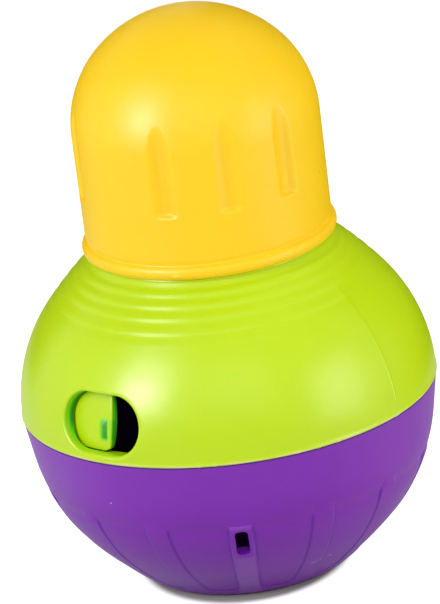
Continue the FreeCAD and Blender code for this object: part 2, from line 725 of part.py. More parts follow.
def door_lower_rail():
    body = new_body("door_lower_rail", RAIL_AZIMUTH)
    section = new_sketch(body, "lower_rail_section", "XZ_Plane")
    back = "flank_arc - shell_wall - low_rail_seat"
    foot_high, foot_low = "door_low - rail_clear", "door_low - rail_clear - rail_foot"
    add_outline(section, [
        radial(FLANK, RAIL_BACK, foot_low),
        radial(FLANK, back, foot_low) + (back, "left"),
        radial(FLANK, back, foot_high),
        radial(FLANK, RAIL_FACE, foot_high) + (RAIL_FACE, "left"),
        radial(FLANK, RAIL_FACE, "door_low + low_rail_hold"),
        radial(FLANK, RAIL_BACK, "door_low + low_rail_hold") + (RAIL_BACK, "right"),
    ])
    revolve(body, "lower_rail", section, RAIL_SPAN)
    return body


def divider_plate():
    """A plate across the neck with a sector opening, a hub under its middle and a stop peg."""
    body = new_body("divider_plate", "throat_azimuth")
    bore = "screw_radius + pivot_gap"
    section = new_sketch(body, "divider_section", "XZ_Plane")
    add_outline(section, [
        (bore, LEDGE_TOP + " - divider_hub_height"),
        ("divider_hub", LEDGE_TOP + " - divider_hub_height"),
        ("divider_hub", LEDGE_TOP),
        (NECK_INNER + " - running_gap", LEDGE_TOP),
        (NECK_INNER + " - running_gap", DIVIDER_TOP),
        (bore, DIVIDER_TOP),
    ])
    revolve(body, "divider", section)
    throat = new_sketch(body, "divider_throat", "XY_Plane", height=DIVIDER_TOP)
    add_outline(throat, sector("throat_inner", THROAT_OUTER, "-" + HALF_THROAT, HALF_THROAT))
    pocket(body, "throat", throat, "2*divider_wall")
    hole = new_sketch(body, "divider_hole", "XY_Plane", height=DIVIDER_TOP)
    add_circle(hole, LUG_CIRCLE, "0", "screw_hole")
    around(body, "divider_holes", pocket(body, "divider_hole_cut", hole, "2*divider_wall"), "lug_count")
    peg = new_sketch(body, "stop_circle_sketch", "XY_Plane", height=DIVIDER_TOP + " - fuse_depth")
    add_circle(peg, STOP_CIRCLE + "*cos(stop_angle)", STOP_CIRCLE + "*sin(stop_angle)", "stop_radius")
    pad(body, "stop_peg", peg, "stop_height + fuse_depth")
    return body


def shutter_disc():
    """A disc with the same sector opening, a slot for the stop peg and a finger fin."""
    body = new_body("shutter_disc", "throat_azimuth")
    section = new_sketch(body, "shutter_section", "XZ_Plane")
    add_outline(section, rectangle("pivot_radius + pivot_gap", SHUTTER_LOW, SHUTTER_RADIUS, SHUTTER_TOP))
    revolve(body, "shutter", section)
    fin = new_sketch(body, "fin_outline", "YZ_Plane")
    fin_top = SHUTTER_TOP + " + fin_height"
    add_outline(fin, [
        ("-" + FIN_OUTER, SHUTTER_TOP + " - fuse_depth"),
        ("-fin_inner", SHUTTER_TOP + " - fuse_depth"),
        ("-fin_inner - fin_slope", fin_top),
        ("-%s + fin_slope" % FIN_OUTER, fin_top),
    ])
    pad(body, "finger_fin", fin, "fin_wall", both=True)
    throat = new_sketch(body, "shutter_throat", "XY_Plane", height=SHUTTER_TOP)
    add_outline(throat, sector("throat_inner", THROAT_OUTER, "-" + HALF_THROAT, HALF_THROAT))
    pocket(body, "shutter_opening", throat, "2*shutter_wall")
    slot = new_sketch(body, "stop_slot_outline", "XY_Plane", height=SHUTTER_TOP)
    play = "(stop_radius + running_gap)"
    end = "asin(%s/%s)/1deg" % (play, STOP_CIRCLE)
    first, last = "stop_angle - shutter_turn - " + end, "stop_angle + " + end
    add_outline(slot, sector(STOP_CIRCLE + " - " + play, STOP_CIRCLE + " + " + play, first, last))
    pocket(body, "stop_slot", slot, "2*shutter_wall")
    return body


def pivot_screw():
    """A shouldered screw: the shutter turns on its shoulder."""
    body = new_body("pivot_screw")
    tip, top = LEDGE_TOP + " - divider_hub_height", PIVOT_SEAT + " + head_height"
    section = new_sketch(body, "pivot_section", "XZ_Plane")
    add_outline(section, [
        ("0", tip),
        ("screw_radius - screw_tip", tip),
        ("screw_radius", tip + " + screw_tip"),
        ("screw_radius", DIVIDER_TOP),
        ("pivot_radius", DIVIDER_TOP),
        ("pivot_radius", PIVOT_SEAT),
        ("pivot_head", PIVOT_SEAT),
        ("pivot_head", top + " - head_edge"),
        ("pivot_head - head_edge", top),
        ("0", top),
    ])
    revolve(body, "pivot", section)
    slot = new_sketch(body, "pivot_slot", "XY_Plane", height=top)
    add_outline(slot, rectangle("-2*drive_reach", "-drive_width/2", "2*drive_reach", "drive_width/2"))
    pocket(body, "pivot_drive", slot, "drive_depth")
    return body


def pivot_washer():
    body = new_body("pivot_washer")
    section = new_sketch(body, "washer_section", "XZ_Plane")
    add_outline(section, rectangle(
        "pivot_radius + pivot_gap", WASHER_LOW, "washer_radius", WASHER_LOW + " + washer_wall"))
    revolve(body, "washer", section)
    return body


def cap_seal():
    body = new_body("cap_seal")
    section = new_sketch(body, "seal_section", "XZ_Plane")
    add_outline(section, rectangle(SEAL_INNER, SEAL_LOW, SHOULDER_RADIUS, SEAL_TOP))
    revolve(body, "seal", section)
    return body


def dome_cap():
    """An outer skin with slots cut through it, backed by an inner skin, a rim bead and a quick thread."""
    body = new_body("dome_cap", "dome_azimuth")
    rim_inner, bead_side = SHOULDER_RADIUS + " + dome_gap", DOME_RADIUS + " + bead_rise - bead_sag"
    bead_arc, bead_top = "((bead_height/2)^2 + bead_sag^2)/(2*bead_sag)", DOME_RIM + " + bead_height"
    skin = "slot_depth + fuse_depth"
    skin_arc = "%s - (%s)" % (DOME_TOP_ARC, skin)
    outer = new_sketch(body, "dome_section", "XZ_Plane")
    add_outline(outer, [
        (rim_inner, DOME_RIM),
        (bead_side, DOME_RIM, bead_arc, "left"),
        (bead_side, bead_top),
        (DOME_RADIUS + " - bead_groove", bead_top + " + groove_height"),
        (DOME_RADIUS, bead_top + " + groove_height + groove_fade"),
        (DOME_RADIUS, DOME_SPRING, "dome_arc", "left"),
        radial(DOME_SIDE_ARC, "dome_arc", "dome_angle") + (DOME_TOP_ARC, "left"),
        ("0", DOME_CENTRE + " + " + DOME_TOP_ARC),
        ("0", DOME_CENTRE + " + " + skin_arc, skin_arc, "right"),
        radial(DOME_SIDE_ARC, "dome_arc - (%s)" % skin, "dome_angle") + ("dome_arc - (%s)" % skin, "right"),
        ("%s - (%s)" % (DOME_RADIUS, skin), DOME_SPRING),
        ("%s - (%s)" % (DOME_RADIUS, skin), DOME_STEP + " + fuse_depth"),
        (rim_inner, DOME_STEP + " + fuse_depth"),
    ])
    revolve(body, "dome_skin", outer)
    slot = new_sketch(body, "slot_outline", "YZ_Plane")
    low, half = SHOULDER + " + slot_rise", "slot_width/2"
    high = low + " + slot_height"
    add_outline(slot, [
        ("slot_foot - slot_width/2", low),
        (half + " - slot_foot", low, "slot_foot", "left"),
        (half, low + " + slot_foot"),
        (half, high + " - " + half, half, "left"),
        ("0", high, half, "left"),
        ("-" + half, high + " - " + half),
        ("-" + half, low + " + slot_foot", "slot_foot", "left"),
    ])
    cut = pocket(body, "slot", slot, "2*" + DOME_RADIUS, reverse=True)
    upright = next(axis for axis in body.Origin.OriginFeatures if axis.Role == "Z_Axis")
    row = body.newObject("PartDesign::PolarPattern", "slot_row_pattern")
    row.Axis = (upright, [""])
    row.setExpression("Angle", bound("slot_step*(slot_row - 1)"))
    row.setExpression("Occurrences", bound("slot_row"))
    groups = body.newObject("PartDesign::PolarPattern", "slot_group_pattern")
    groups.Axis = (upright, [""])
    groups.Angle = FULL_TURN
    groups.setExpression("Occurrences", bound("slot_groups"))
    slots = body.newObject("PartDesign::MultiTransform", "slots")
    slots.Originals = [cut]
    slots.Transformations = [row, groups]
    body.Tip = slots
    liner_arc = DOME_TOP_ARC + " - slot_depth"
    inner = new_sketch(body, "liner_section", "XZ_Plane")
    add_outline(inner, [
        (DOME_INNER, DOME_STEP),
        ("%s + dome_gap" % rim_inner, DOME_STEP),
        ("%s + dome_gap" % rim_inner, DOME_STEP + " + 2*fuse_depth"),
        (DOME_RADIUS + " - slot_depth", DOME_STEP + " + 2*fuse_depth"),
        (DOME_RADIUS + " - slot_depth", DOME_SPRING, "dome_arc - slot_depth", "left"),
        radial(DOME_SIDE_ARC, "dome_arc - slot_depth", "dome_angle") + (liner_arc, "left"),
        ("0", DOME_CENTRE + " + " + liner_arc),
        ("0", DOME_CENTRE + " + %s - dome_wall" % DOME_TOP_ARC, DOME_TOP_ARC + " - dome_wall", "right"),
        radial(DOME_SIDE_ARC, "dome_arc - dome_wall", "dome_angle") + ("dome_arc - dome_wall", "right"),
        (DOME_INNER, DOME_SPRING),
    ])
    revolve(body, "dome_liner", inner)
    thread = new_sketch(body, "dome_thread_section", "XZ_Plane")
    height = SHOULDER + " + thread_rise - thread_lead/thread_starts/2"
    height = height + " + thread_lead*(dome_azimuth - window_azimuth)/360"
    add_outline(thread, [
        (DOME_INNER + " - thread_depth", height + " - thread_crest"),
        (DOME_INNER + " + fuse_depth", height + " - thread_root"),
        (DOME_INNER + " + fuse_depth", height + " + thread_root"),
        (DOME_INNER + " - thread_depth", height + " + thread_crest"),
    ])
    around(body, "dome_threads", helix(body, "dome_thread", thread, "dome_thread_span"), "thread_starts")
    return body


COVER_TOP = BOSS_TOP + " + cover_wall"
PIECES = [
    lower_shell(),
    foot_ring(),
    weight_disc(),
    weight_pad(),
    weight_cover(),
    screws("cover_screws", "hole_azimuth + 90", BOSS_CIRCLE, COVER_TOP, "screw_length", "boss_count"),
    upper_shell(),
    sliding_door(),
    door_upper_rail(),
    door_lower_rail(),
    divider_plate(),
    screws("divider_screws", "throat_azimuth", LUG_CIRCLE, DIVIDER_TOP, "lug_screw", "lug_count"),
    shutter_disc(),
    pivot_screw(),
    pivot_washer(),
    cap_seal(),
    dome_cap(),
]
document.recompute()

failed = [item.Name for item in document.Objects if "Invalid" in item.State or "Error" in item.State]
if failed:
    raise RuntimeError("failed: %s" % ", ".join(failed))
for piece in PIECES:
    if piece.Shape.isNull() or not piece.Shape.isValid():
        raise RuntimeError("%s has no valid shape" % piece.Label)

os.makedirs("parts", exist_ok=True)
for piece in PIECES:
    piece.Shape.exportStep("parts/%s.step" % piece.Label)
    print("%-16s %d solid(s) %9.0f mm3" % (piece.Label, len(piece.Shape.Solids), piece.Shape.Volume))
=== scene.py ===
import math
import bpy
import numpy as np
from mathutils import Matrix, Vector


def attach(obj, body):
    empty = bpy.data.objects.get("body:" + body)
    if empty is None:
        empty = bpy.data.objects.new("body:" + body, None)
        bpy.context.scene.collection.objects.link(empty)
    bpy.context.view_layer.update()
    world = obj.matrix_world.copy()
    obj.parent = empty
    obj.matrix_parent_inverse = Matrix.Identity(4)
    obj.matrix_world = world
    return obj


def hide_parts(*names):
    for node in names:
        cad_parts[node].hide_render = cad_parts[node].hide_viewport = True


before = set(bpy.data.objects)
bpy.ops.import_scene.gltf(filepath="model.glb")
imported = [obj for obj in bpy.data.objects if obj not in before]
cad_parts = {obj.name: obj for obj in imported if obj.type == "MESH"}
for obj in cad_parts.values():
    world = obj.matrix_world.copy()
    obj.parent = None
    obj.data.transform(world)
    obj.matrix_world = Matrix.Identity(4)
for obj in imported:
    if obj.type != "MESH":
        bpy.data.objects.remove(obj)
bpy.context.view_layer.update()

# All sizes are millimetres and degrees. An azimuth is 0 to the front (-Y) and grows to the right.
mm = 0.001
scene = bpy.context.scene


def smooth(value):
    value = np.clip(value, 0.0, 1.0)
    return value * value * (3.0 - 2.0 * value)


def bell(value):
    return np.exp(-value * value)


# Length along the skin from an upright line to a place.
def lengthFrom(line, azimuth, radius):
    return np.radians((azimuth - line + 180) % 360 - 180) * radius


def onArc(centre, radius, angle):
    turn = math.radians(angle)
    return centre[0] + radius * math.cos(turn), centre[1] + radius * math.sin(turn)


def arcPoints(centre, radius, first, last, count):
    return [onArc(centre, radius, angle) for angle in np.linspace(first, last, count)]


def arcRun(centre, radius, first, last, step):
    count = max(2, int(math.ceil(abs(math.radians(last - first)) * radius / step)) + 1)
    return arcPoints(centre, radius, first, last, count)


# Distance from the upright of an arc's outer side at a height.
def arcReach(centre, radius, height):
    return centre[0] + math.sqrt(radius ** 2 - (height - centre[1]) ** 2)


# A run of corners, each r, z and the radius that rounds it off, filled with points a step apart.
def roundedRun(corners, step):
    path = []
    for index, corner in enumerate(corners):
        here = np.array(corner[:2], float)
        radius = corner[2] if len(corner) > 2 else 0.0
        if radius == 0.0:
            path.append(here)
            continue
        back = np.array(corners[index - 1][:2], float) - here
        ahead = np.array(corners[index + 1][:2], float) - here
        back, ahead = back / np.linalg.norm(back), ahead / np.linalg.norm(ahead)
        half = math.acos(float(np.clip(back @ ahead, -1, 1))) / 2
        bisector = (back + ahead) / np.linalg.norm(back + ahead)
        centre = here + bisector * radius / math.sin(half)
        start = here + back * radius / math.tan(half) - centre
        stop = here + ahead * radius / math.tan(half) - centre
        first, last = math.atan2(start[1], start[0]), math.atan2(stop[1], stop[0])
        turn = (last - first + math.pi) % (2 * math.pi) - math.pi
        for share in np.linspace(0, 1, 5):
            angle = first + turn * share
            path.append(centre + radius * np.array([math.cos(angle), math.sin(angle)]))
    filled = [path[0]]
    for start, stop in zip(path, path[1:]):
        parts = max(1, int(math.ceil(np.linalg.norm(stop - start) / step)))
        filled += [start + (stop - start) * part / parts for part in range(1, parts + 1)]
    return [tuple(point) for point in filled]


# Runs laid end to end, with the points that meet kept once.
def joined(*runs):
    points = []
    for run in runs:
        for point in run:
            if not points or math.dist(point, points[-1]) > 0.01:
                points.append(point)
    return np.array(points, float)


# Points of an outline, moved to where it stands.
def moved(outline, reach, height):
    return [(reach + across, height + up) for across, up in outline]


# Angles round the upright: a base step, and finer ones in zones of centre, half width and step. The first
# angle lies past seamAngle, where no opening is cut.
def columnAngles(baseStep, zones, seamAngle=90.0):
    spans = [np.arange(centre - half, centre + half + step / 2, step) for centre, half, step in zones]
    fine = np.unique(np.round((np.concatenate(spans) - seamAngle) % 360 + seamAngle, 3))
    kept = [fine[0]]
    closest = min(step for _, _, step in zones) * 0.45
    for angle in fine[1:]:
        if angle - kept[-1] > closest:
            kept.append(angle)
    angles = []
    for angle, following in zip(kept, kept[1:] + [kept[0] + 360]):
        parts = max(1, int(math.ceil((following - angle) / baseStep)))
        angles += [angle + (following - angle) * part / parts for part in range(parts)]
    return np.array(angles)


# tones holds one number a point: below 0 where shade is painted into the colour, above 0 where it is painted
# paler (a painted highlight, or the paler framed strips).
def makeObject(name, points, faces, tones, sharpAngle=35.0):
    mesh = bpy.data.meshes.new(name)
    mesh.from_pydata((np.asarray(points) * mm).tolist(), [], faces)
    mesh.validate()
    mesh.attributes.new("tone", "FLOAT", "POINT").data.foreach_set("value", np.asarray(tones, float))
    mesh.shade_smooth()
    mesh.set_sharp_from_angle(angle=math.radians(sharpAngle))
    made = bpy.data.objects.new(name, mesh)
    scene.collection.objects.link(made)
    return made


# A closed skin turned about the upright. Its profile runs up the outside and down the inside, or from
# one point on the axis to another. relief lifts a point along its normal. An opening joins the skins.
def turnedSkin(name, profile, azimuths, relief, openings=(), tone=None):
    rows, columns = len(profile), len(azimuths)
    poles = profile[0][0] < 1e-6
    before = profile[[0] + list(range(rows - 1))] if poles else np.roll(profile, 1, axis=0)
    after = profile[list(range(1, rows)) + [rows - 1]] if poles else np.roll(profile, -1, axis=0)

    def unit(span):
        length = np.linalg.norm(span, axis=1, keepdims=True)
        return span / np.maximum(length, 1e-9)
    tangent = unit(unit(profile - before) + unit(after - profile))
    places = azimuths[None, :], profile[:, :1], profile[:, 1:], np.arange(rows)[:, None]
    lift = relief(*places) * np.ones((rows, columns))
    shades = (tone(*places) if tone else 0.0) * np.ones((rows, columns))
    reach = profile[:, :1] + lift * tangent[:, 1:]
    height = profile[:, 1:] - lift * tangent[:, :1]
    angle = np.radians(azimuths)[None, :]
    grid = np.stack([reach * np.sin(angle), -reach * np.cos(angle), height * np.ones_like(angle)], axis=2)

    points, tones, index = [], [], np.zeros((rows, columns), int)
    for row in range(rows):
        if poles and row in (0, rows - 1):
            index[row] = len(points)
            points.append(grid[row].mean(axis=0))
            tones.append(0.0)
        else:
            index[row] = np.arange(len(points), len(points) + columns)
            points.extend(grid[row])
            tones.extend(shades[row])
    skipped = np.zeros((rows, columns), bool)
    for opening in openings:
        first, last = opening["columns"]
        for low, high in (opening["outerRows"], opening["innerRows"]):
            skipped[low:high, first:last] = True
    faces = []
    for row in range(rows if not poles else rows - 1):
        following = (row + 1) % rows
        for column in range(columns):
            if skipped[row, column]:
                continue
            right = (column + 1) % columns
            face = [index[row, column], index[row, right], index[following, right], index[following, column]]
            faces.append([int(corner) for spot, corner in enumerate(face) if corner != face[spot - 1]])
    for opening in openings:
        cutOpening(points, tones, faces, index, opening)
    return makeObject(name, points, faces, tones)


# Rings of points that lead from the outer skin over a rounded edge, through the wall and onto the inner
# skin. The wall may lean in at its left end, and its sill may climb toward the inside. Shade may be painted
# on the wall, darker toward its foot.
def cutOpening(points, tones, faces, index, opening):
    firstColumn, lastColumn = opening["columns"]
    low, high = opening["outerRows"]
    innerHigh = opening["innerRows"][1]
    across, up = lastColumn - firstColumn, high - low
    walk = [(0, step) for step in range(across)] + [(step, across) for step in range(up)]
    walk += [(up, across - step) for step in range(across)] + [(up - step, 0) for step in range(up)]
    outerLoop = [index[low + row, firstColumn + column] for row, column in walk]
    innerLoop = [index[innerHigh - row, firstColumn + column] for row, column in walk]
    turn = math.radians(opening["azimuth"])
    outward = np.array([math.sin(turn), -math.cos(turn)])
    sideways = np.array([math.cos(turn), math.sin(turn)])
    edgeRound, innerRound, steps = opening["edgeRound"], opening["innerRound"], opening["rings"]
    outerSkin, innerSkin = opening["outer"], opening["inner"]

    def flat(vertex):
        point = points[vertex]
        return np.array([point[:2] @ sideways, point[2]])
    middle, core = np.array([0.0, opening["height"]]), np.array(opening["core"])
    edges = []
    for outer, inner in zip(outerLoop, innerLoop):
        place = flat(outer) - middle
        heart = np.clip(place, -core, core)
        away = (place - heart) / np.linalg.norm(place - heart)
        edges.append((middle + heart + away * opening["radius"], away, flat(outer), flat(inner)))

    # Which part of the edge has the wall that leans in: the left end, less toward its foot.
    def leanShare(away):
        return float(smooth(-away[0] / 0.5) * smooth((away[1] + 0.9) / 0.8))

    def inward(away, share=1.0):
        climb = np.array([0.0, opening["ramp"] * max(0.0, -away[1])])
        return (climb - away * opening["lean"] * leanShare(away)) * share

    def ring(makePoint, depthShare=0.0):
        start = len(points)
        for edge in edges:
            place, depth = makePoint(*edge)
            points.append(np.array([*(sideways * place[0] + outward * depth), place[1]]))
            below = max(0.0, -edge[1][1])
            # Painted shade on the wall, darker with depth, less on the sill and darkest at the foot of the
            # left end's leaning wall.
            wallPaintedShade = opening["wallPaintedShade"] + (opening["sillPaintedShade"] - opening["wallPaintedShade"]) * below
            dark = opening["leanPaintedShade"] * leanShare(edge[1]) * float(smooth((depthShare - 0.45) / 0.35))
            tones.append(-depthShare * wallPaintedShade - dark)
        return list(range(start, start + len(edges)))

    def onSkin(surface, place, offset):
        return math.sqrt(surface(place[1], offset) ** 2 - place[0] ** 2)
    rings = [outerLoop]
    for step in range(1, steps + 1):
        share = (step / steps) ** 0.8

        def outerPoint(edge, away, far, _):
            near = edge + away * edgeRound
            place = far + (near - far) * share
            offset = edgeRound + np.linalg.norm(far - near) * (1 - share)
            return place, onSkin(outerSkin, place, offset)
        rings.append(ring(outerPoint))
    for angle in np.radians([15, 30, 45, 60, 75, 90]):
        def roundPoint(edge, away, far, _):
            place = edge + away * edgeRound * (1 - math.sin(angle))
            drop = edgeRound * (1 - math.cos(angle))
            return place, onSkin(outerSkin, place, edgeRound) - drop
        rings.append(ring(roundPoint, 0.4 * math.sin(angle) ** 2))
    for share in (0.25, 0.5, 0.75, 1.0):
        def wallPoint(edge, away, far, _):
            top = onSkin(outerSkin, edge, edgeRound) - edgeRound
            foot = onSkin(innerSkin, edge, 0.0) + innerRound - opening["sink"] * leanShare(away)
            place = edge + inward(away, share)
            return place, top + (foot - top) * share
        rings.append(ring(wallPoint, 0.4 + 0.6 * share))
    for angle in np.radians([30, 60, 90]):
        def innerRoundPoint(edge, away, far, _):
            place = edge + inward(away) + away * innerRound * (1 - math.cos(angle))
            foot = onSkin(innerSkin, place, 0.0) - opening["sink"] * leanShare(away)
            return place, foot + innerRound * (1 - math.sin(angle))
        rings.append(ring(innerRoundPoint, 1.5))
    for step in range(1, steps):
        share = step / steps

        def innerPoint(edge, away, _, far):
            near = edge + inward(away) + away * innerRound
            place = near + (far - near) * share
            offset = innerRound + np.linalg.norm(far - near) * share
            sunk = opening["sink"] * leanShare(away) * (1 - share)
            return place, onSkin(innerSkin, place, offset) - sunk
        rings.append(ring(innerPoint))
    rings.append(innerLoop)
    for near, far in zip(rings, rings[1:]):
        for spot in range(len(near)):
            following = (spot + 1) % len(near)
            corners = near[spot], near[following], far[following], far[spot]
            faces.append([int(corner) for corner in corners])


# An opening's sizes, with the columns and rows of its skin's grid whose place it takes.
def placedOpening(look, azimuth, profile, azimuths, outerBlock, innerBlock, **others):
    rows = {tuple(np.round(point, 5)): row for row, point in enumerate(profile)}

    def ends(block):
        return rows[tuple(np.round(block[0], 5))], rows[tuple(np.round(block[-1], 5))]
    turns = (azimuth - look["blockTurn"], azimuth + look["blockTurn"])
    columns = [int(np.argmin(np.abs((azimuths - turn + 180) % 360 - 180))) for turn in turns]
    return {**look, "azimuth": azimuth, "columns": columns, "outerRows": ends(outerBlock),
            "innerRows": ends(innerBlock), **others}


# Yellow dome: a bead round its rim, a soft groove over it and nine recessed finger slots.
dome = {
    "radius": 54.0,
    "wall": 3.1,
    "spring": 204.0,          # where the straight side ends
    "sideArc": 48.9,
    "sideAngle": 45.0,
    "rim": 150.6,
    "seat": (52.8, 152.1),    # the step over the seal
    "threadTop": 163.0,
    "beadTop": 155.95,
    "beadRadius": 55.9,
    # Out from the bead's radius and up from the rim:
    "bead": [(-1.2, 0.0), (-0.42, 0.75), (-0.06, 2.0), (0.0, 2.7), (-0.08, 3.5), (-0.42, 4.5), (-1.1, 5.25)],
    # Out from the side and up from the bead's top:
    "groove": [(-0.1, 0.25), (-0.42, 0.75), (-0.4, 1.2), (-0.1, 2.0)],
    "slots": [-18.6, 11.4, 41.4, 101.4, 131.4, 161.4, 221.4, 251.4, 281.4],
    "slotLow": 177.2,
    "slotWidth": 14.0,
    "slotFoot": 3.4,          # rounding of the slot's lower corners
    "slotDepth": 2.3,
    "slotSlope": 6.2,         # width of the slope at either side
    "slotToe": 2.4,           # width of the slope at the foot
    "slotFade": 0.7,          # softness with which a slot runs out
    # Shade painted into the slots, darkest at their bottoms:
    "slotPaintedShade": -0.5,
}
thread = {
    "starts": 3,
    "lead": 12.0,
    "depth": 3.1,
    "root": 1.25,
    "crest": 0.75,
    "runOut": 3.0,            # degrees in which a ridge ends
    "neckFoot": 155.0,
    "neckStart": -39.8,
    "neckSpan": 105.0,
    "domeFoot": 153.683,
    "domeStart": -19.3,
    "domeSpan": 50.0,
}


# Height of a quick thread's ridges at a place on the wall that carries them.
def threadRidge(azimuth, height, foot, start, span):
    ridge = 0.0
    for begin in range(thread["starts"]):
        along = (azimuth - start - begin * 360 / thread["starts"]) % 360
        away = np.abs(height - foot - thread["lead"] * along / 360)
        flank = (thread["root"] - away) / (thread["root"] - thread["crest"])
        ends = np.clip(along / thread["runOut"], 0, 1) * np.clip((span - along) / thread["runOut"], 0, 1)
        ridge = np.maximum(ridge, np.clip(flank, 0, 1) * np.where(along < span, ends, 0.0))
    return ridge * thread["depth"]


# Depth of the finger slots: upright troughs whose bottom stays at one radius, so that they run out where
# the dome curves in.
def domeSlots(azimuth, reach, height):
    depth, half, foot = 0.0, dome["slotWidth"] / 2, dome["slotFoot"]
    above = height - dome["slotLow"]
    for slot in dome["slots"]:
        beside = half - np.abs(lengthFrom(slot, azimuth, dome["radius"]))
        corner = foot - np.hypot(np.maximum(foot - beside, 0), np.maximum(foot - above, 0))
        toe = smooth(np.minimum(above, corner) / dome["slotToe"])
        depth = np.maximum(depth, smooth(beside / dome["slotSlope"]) * toe)
    sunk = np.maximum(depth * dome["slotDepth"] - (dome["radius"] - reach), 0.0)
    return sunk * sunk / (sunk + dome["slotFade"])


def makeDome():
    side, radius = (dome["radius"] - dome["sideArc"], dome["spring"]), dome["radius"]
    cosine = math.cos(math.radians(dome["sideAngle"]))
    turn = side[0] + dome["sideArc"] * cosine
    topArc = turn / cosine
    top = (0.0, dome["spring"] + dome["sideArc"] * math.sin(math.radians(dome["sideAngle"])) - turn)
    inner = radius - dome["wall"]
    liningSide, liningTop = dome["sideArc"] - dome["wall"], topArc - dome["wall"]
    rim, bead, beadTop = dome["rim"], dome["beadRadius"], dome["beadTop"]
    beadRun = moved(dome["bead"], bead, rim)
    seatReach, seat = dome["seat"]
    slotRows, slotEnd, nearTop = (174.0, 182.0), 17.5, 88.0     # rows stand closer at the slots' feet
    profile = joined(
        [(0.0, top[1] + liningTop)],
        arcRun(top, liningTop, nearTop, dome["sideAngle"], 3.5),
        arcRun(side, liningSide, dome["sideAngle"], 0.0, 3.5),
        roundedRun([(inner, dome["spring"]), (inner, dome["threadTop"])], 6.0),
        roundedRun([(inner, dome["threadTop"]), (inner, seat)], 0.45),
        roundedRun([(inner, seat), (seatReach, seat), (seatReach, rim), beadRun[0]], 0.8),
        beadRun + moved(dome["groove"], radius, beadTop),
        roundedRun([(radius, beadTop + 2.8), (radius, slotRows[0])], 1.6),
        roundedRun([(radius, slotRows[0]), (radius, slotRows[1])], 0.5),
        roundedRun([(radius, slotRows[1]), (radius, dome["spring"])], 1.2),
        arcRun(side, dome["sideArc"], 0.0, slotEnd, 0.7),
        arcRun(side, dome["sideArc"], slotEnd, dome["sideAngle"], 1.8),
        arcRun(top, topArc, dome["sideAngle"], nearTop, 2.0),
        [(0.0, top[1] + topArc)],
    )
    apex = int(np.argmax(profile[:, 0] > bead - 0.01))

    def relief(azimuth, reach, height, row):
        outside = (row > apex) & (height > beadTop + 2)
        inside = (row < apex) & (height > seat + 0.1) & (height < dome["threadTop"])
        slots = -domeSlots(azimuth, reach, height) * outside
        ridges = threadRidge(azimuth, height, thread["domeFoot"], thread["domeStart"], thread["domeSpan"])
        return slots + ridges * inside

    # Painted shade in the finger slots, deeper where they are deeper.
    def tone(azimuth, reach, height, row):
        depth = domeSlots(azimuth, reach, height) * (row > apex) * (height > beadTop + 2)
        return dome["slotPaintedShade"] * smooth(depth / dome["slotDepth"])
    azimuths = columnAngles(2.5, [(slot, 8.2, 0.5) for slot in dome["slots"]])
    made = turnedSkin("domeCap", profile, azimuths, relief, tone=tone)
    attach(made, "dome")
    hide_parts("dome_cap")
    return made


# Green upper shell: terraced rings below the dome, the window, a parting line and the flash at its seam.
upper = {
    "seam": 80.0,
    "seamRadius": 92.0,
    "wall": 3.0,
    "flankArc": 72.0,
    "flankEnd": 38.0,
    "crownArc": 165.0,
    "crownEnd": 47.8,
    "shoulder": 150.0,
    "shoulderRadius": 52.2,
    "neckRadius": 47.3,
    "neckInner": 44.5,
    "neckTop": 168.0,
    "threadRows": (151.5, 161.5),     # rows stand closer between these heights
    "lip": [(-0.3, 0.0), (-0.07, 0.07), (0.0, 0.28), (-0.01, 0.6), (-0.01, 0.9)],    # from the seam's edge
    "groove": [(89.0, 0.0), (89.8, 0.0), (89.8, 2.3), (91.1, 2.3), (91.1, 0.0)],     # up from the seam
    "brink": [(52.9, 149.3), (52.75, 149.75)],
    "ledge": [(44.5, 151.0), (41.5, 151.0), (41.5, 148.5), (44.5, 145.5)],           # carries the divider
    "terraces": [(149.4, 0.0), (147.1, -0.5), (145.2, 0.0), (143.6, -0.38), (141.4, 0.0), (139.8, -0.36),
                 (137.3, 0.0), (135.7, -0.3), (132.5, 0.0), (131.1, -0.2), (128.0, 0.0)],
    "partingLines": [50.0, -130.0],
    "partingSlope": 0.6,      # the mould's other half lies this much lower past the line
    "partingRise": 0.05,
    "partingFoot": 0.2,       # how much higher the line stands toward the seam
    "partingTop": 126.0,
    "partingWidth": 0.36,
    "slopeReach": 60.0,       # how far past the line the step is felt
    "slopeEase": 5.0,
    "lipMiddle": 0.55,
    "lipWidth": 0.6,
    "lipRise": 0.28,
    "nubs": [-10.4, -6.2, 16.2, 22.1, 27.9, 49.0, 96.0, 151.0, 203.0, 262.0],
    "nubRise": 0.3,
    "nubWidth": 0.8,
    "flashPaintedHighlight": 0.6,         # a highlight is painted along the flash under the lip, more so in this many patches
    "flashPatches": 23,       # more so in this many patches
}
window = {
    "azimuth": -39.7,
    "height": 96.1,
    "length": 40.1,
    "radius": 12.65,          # of its ends
    "edgeRound": 1.6,
    "innerRound": 0.4,
    "ramp": 0.0,
    "rings": 9,
    "collar": 1.2,            # extra wall round the window, on the inside
    "rimRise": 0.08,
    "rimMiddle": 2.3,
    "rimWidth": 0.8,
    "blockTurn": 19.5,
    "blockLow": 0.955,        # angles on the flank's arc
    "blockHigh": 27.8,
    "blockRows": 26,
    # Shade painted on the wall, darker toward its foot: less on the sill, more on the left end's leaning
    # wall.
    "wallPaintedShade": 1.0,
    "sillPaintedShade": 0.5,
    "lean": 1.6,              # how far the left end's wall comes in toward its foot
    "sink": 1.1,              # and how much deeper it reaches
    "leanPaintedShade": 1.3,
}


def terraceHeight(height):
    heights, levels = zip(*reversed(upper["terraces"]))
    spot = np.clip(np.searchsorted(heights, height) - 1, 0, len(heights) - 2)
    heights, levels = np.array(heights), np.array(levels)
    share = (height - heights[spot]) / (heights[spot + 1] - heights[spot])
    return levels[spot] + (levels[spot + 1] - levels[spot]) * smooth(share)


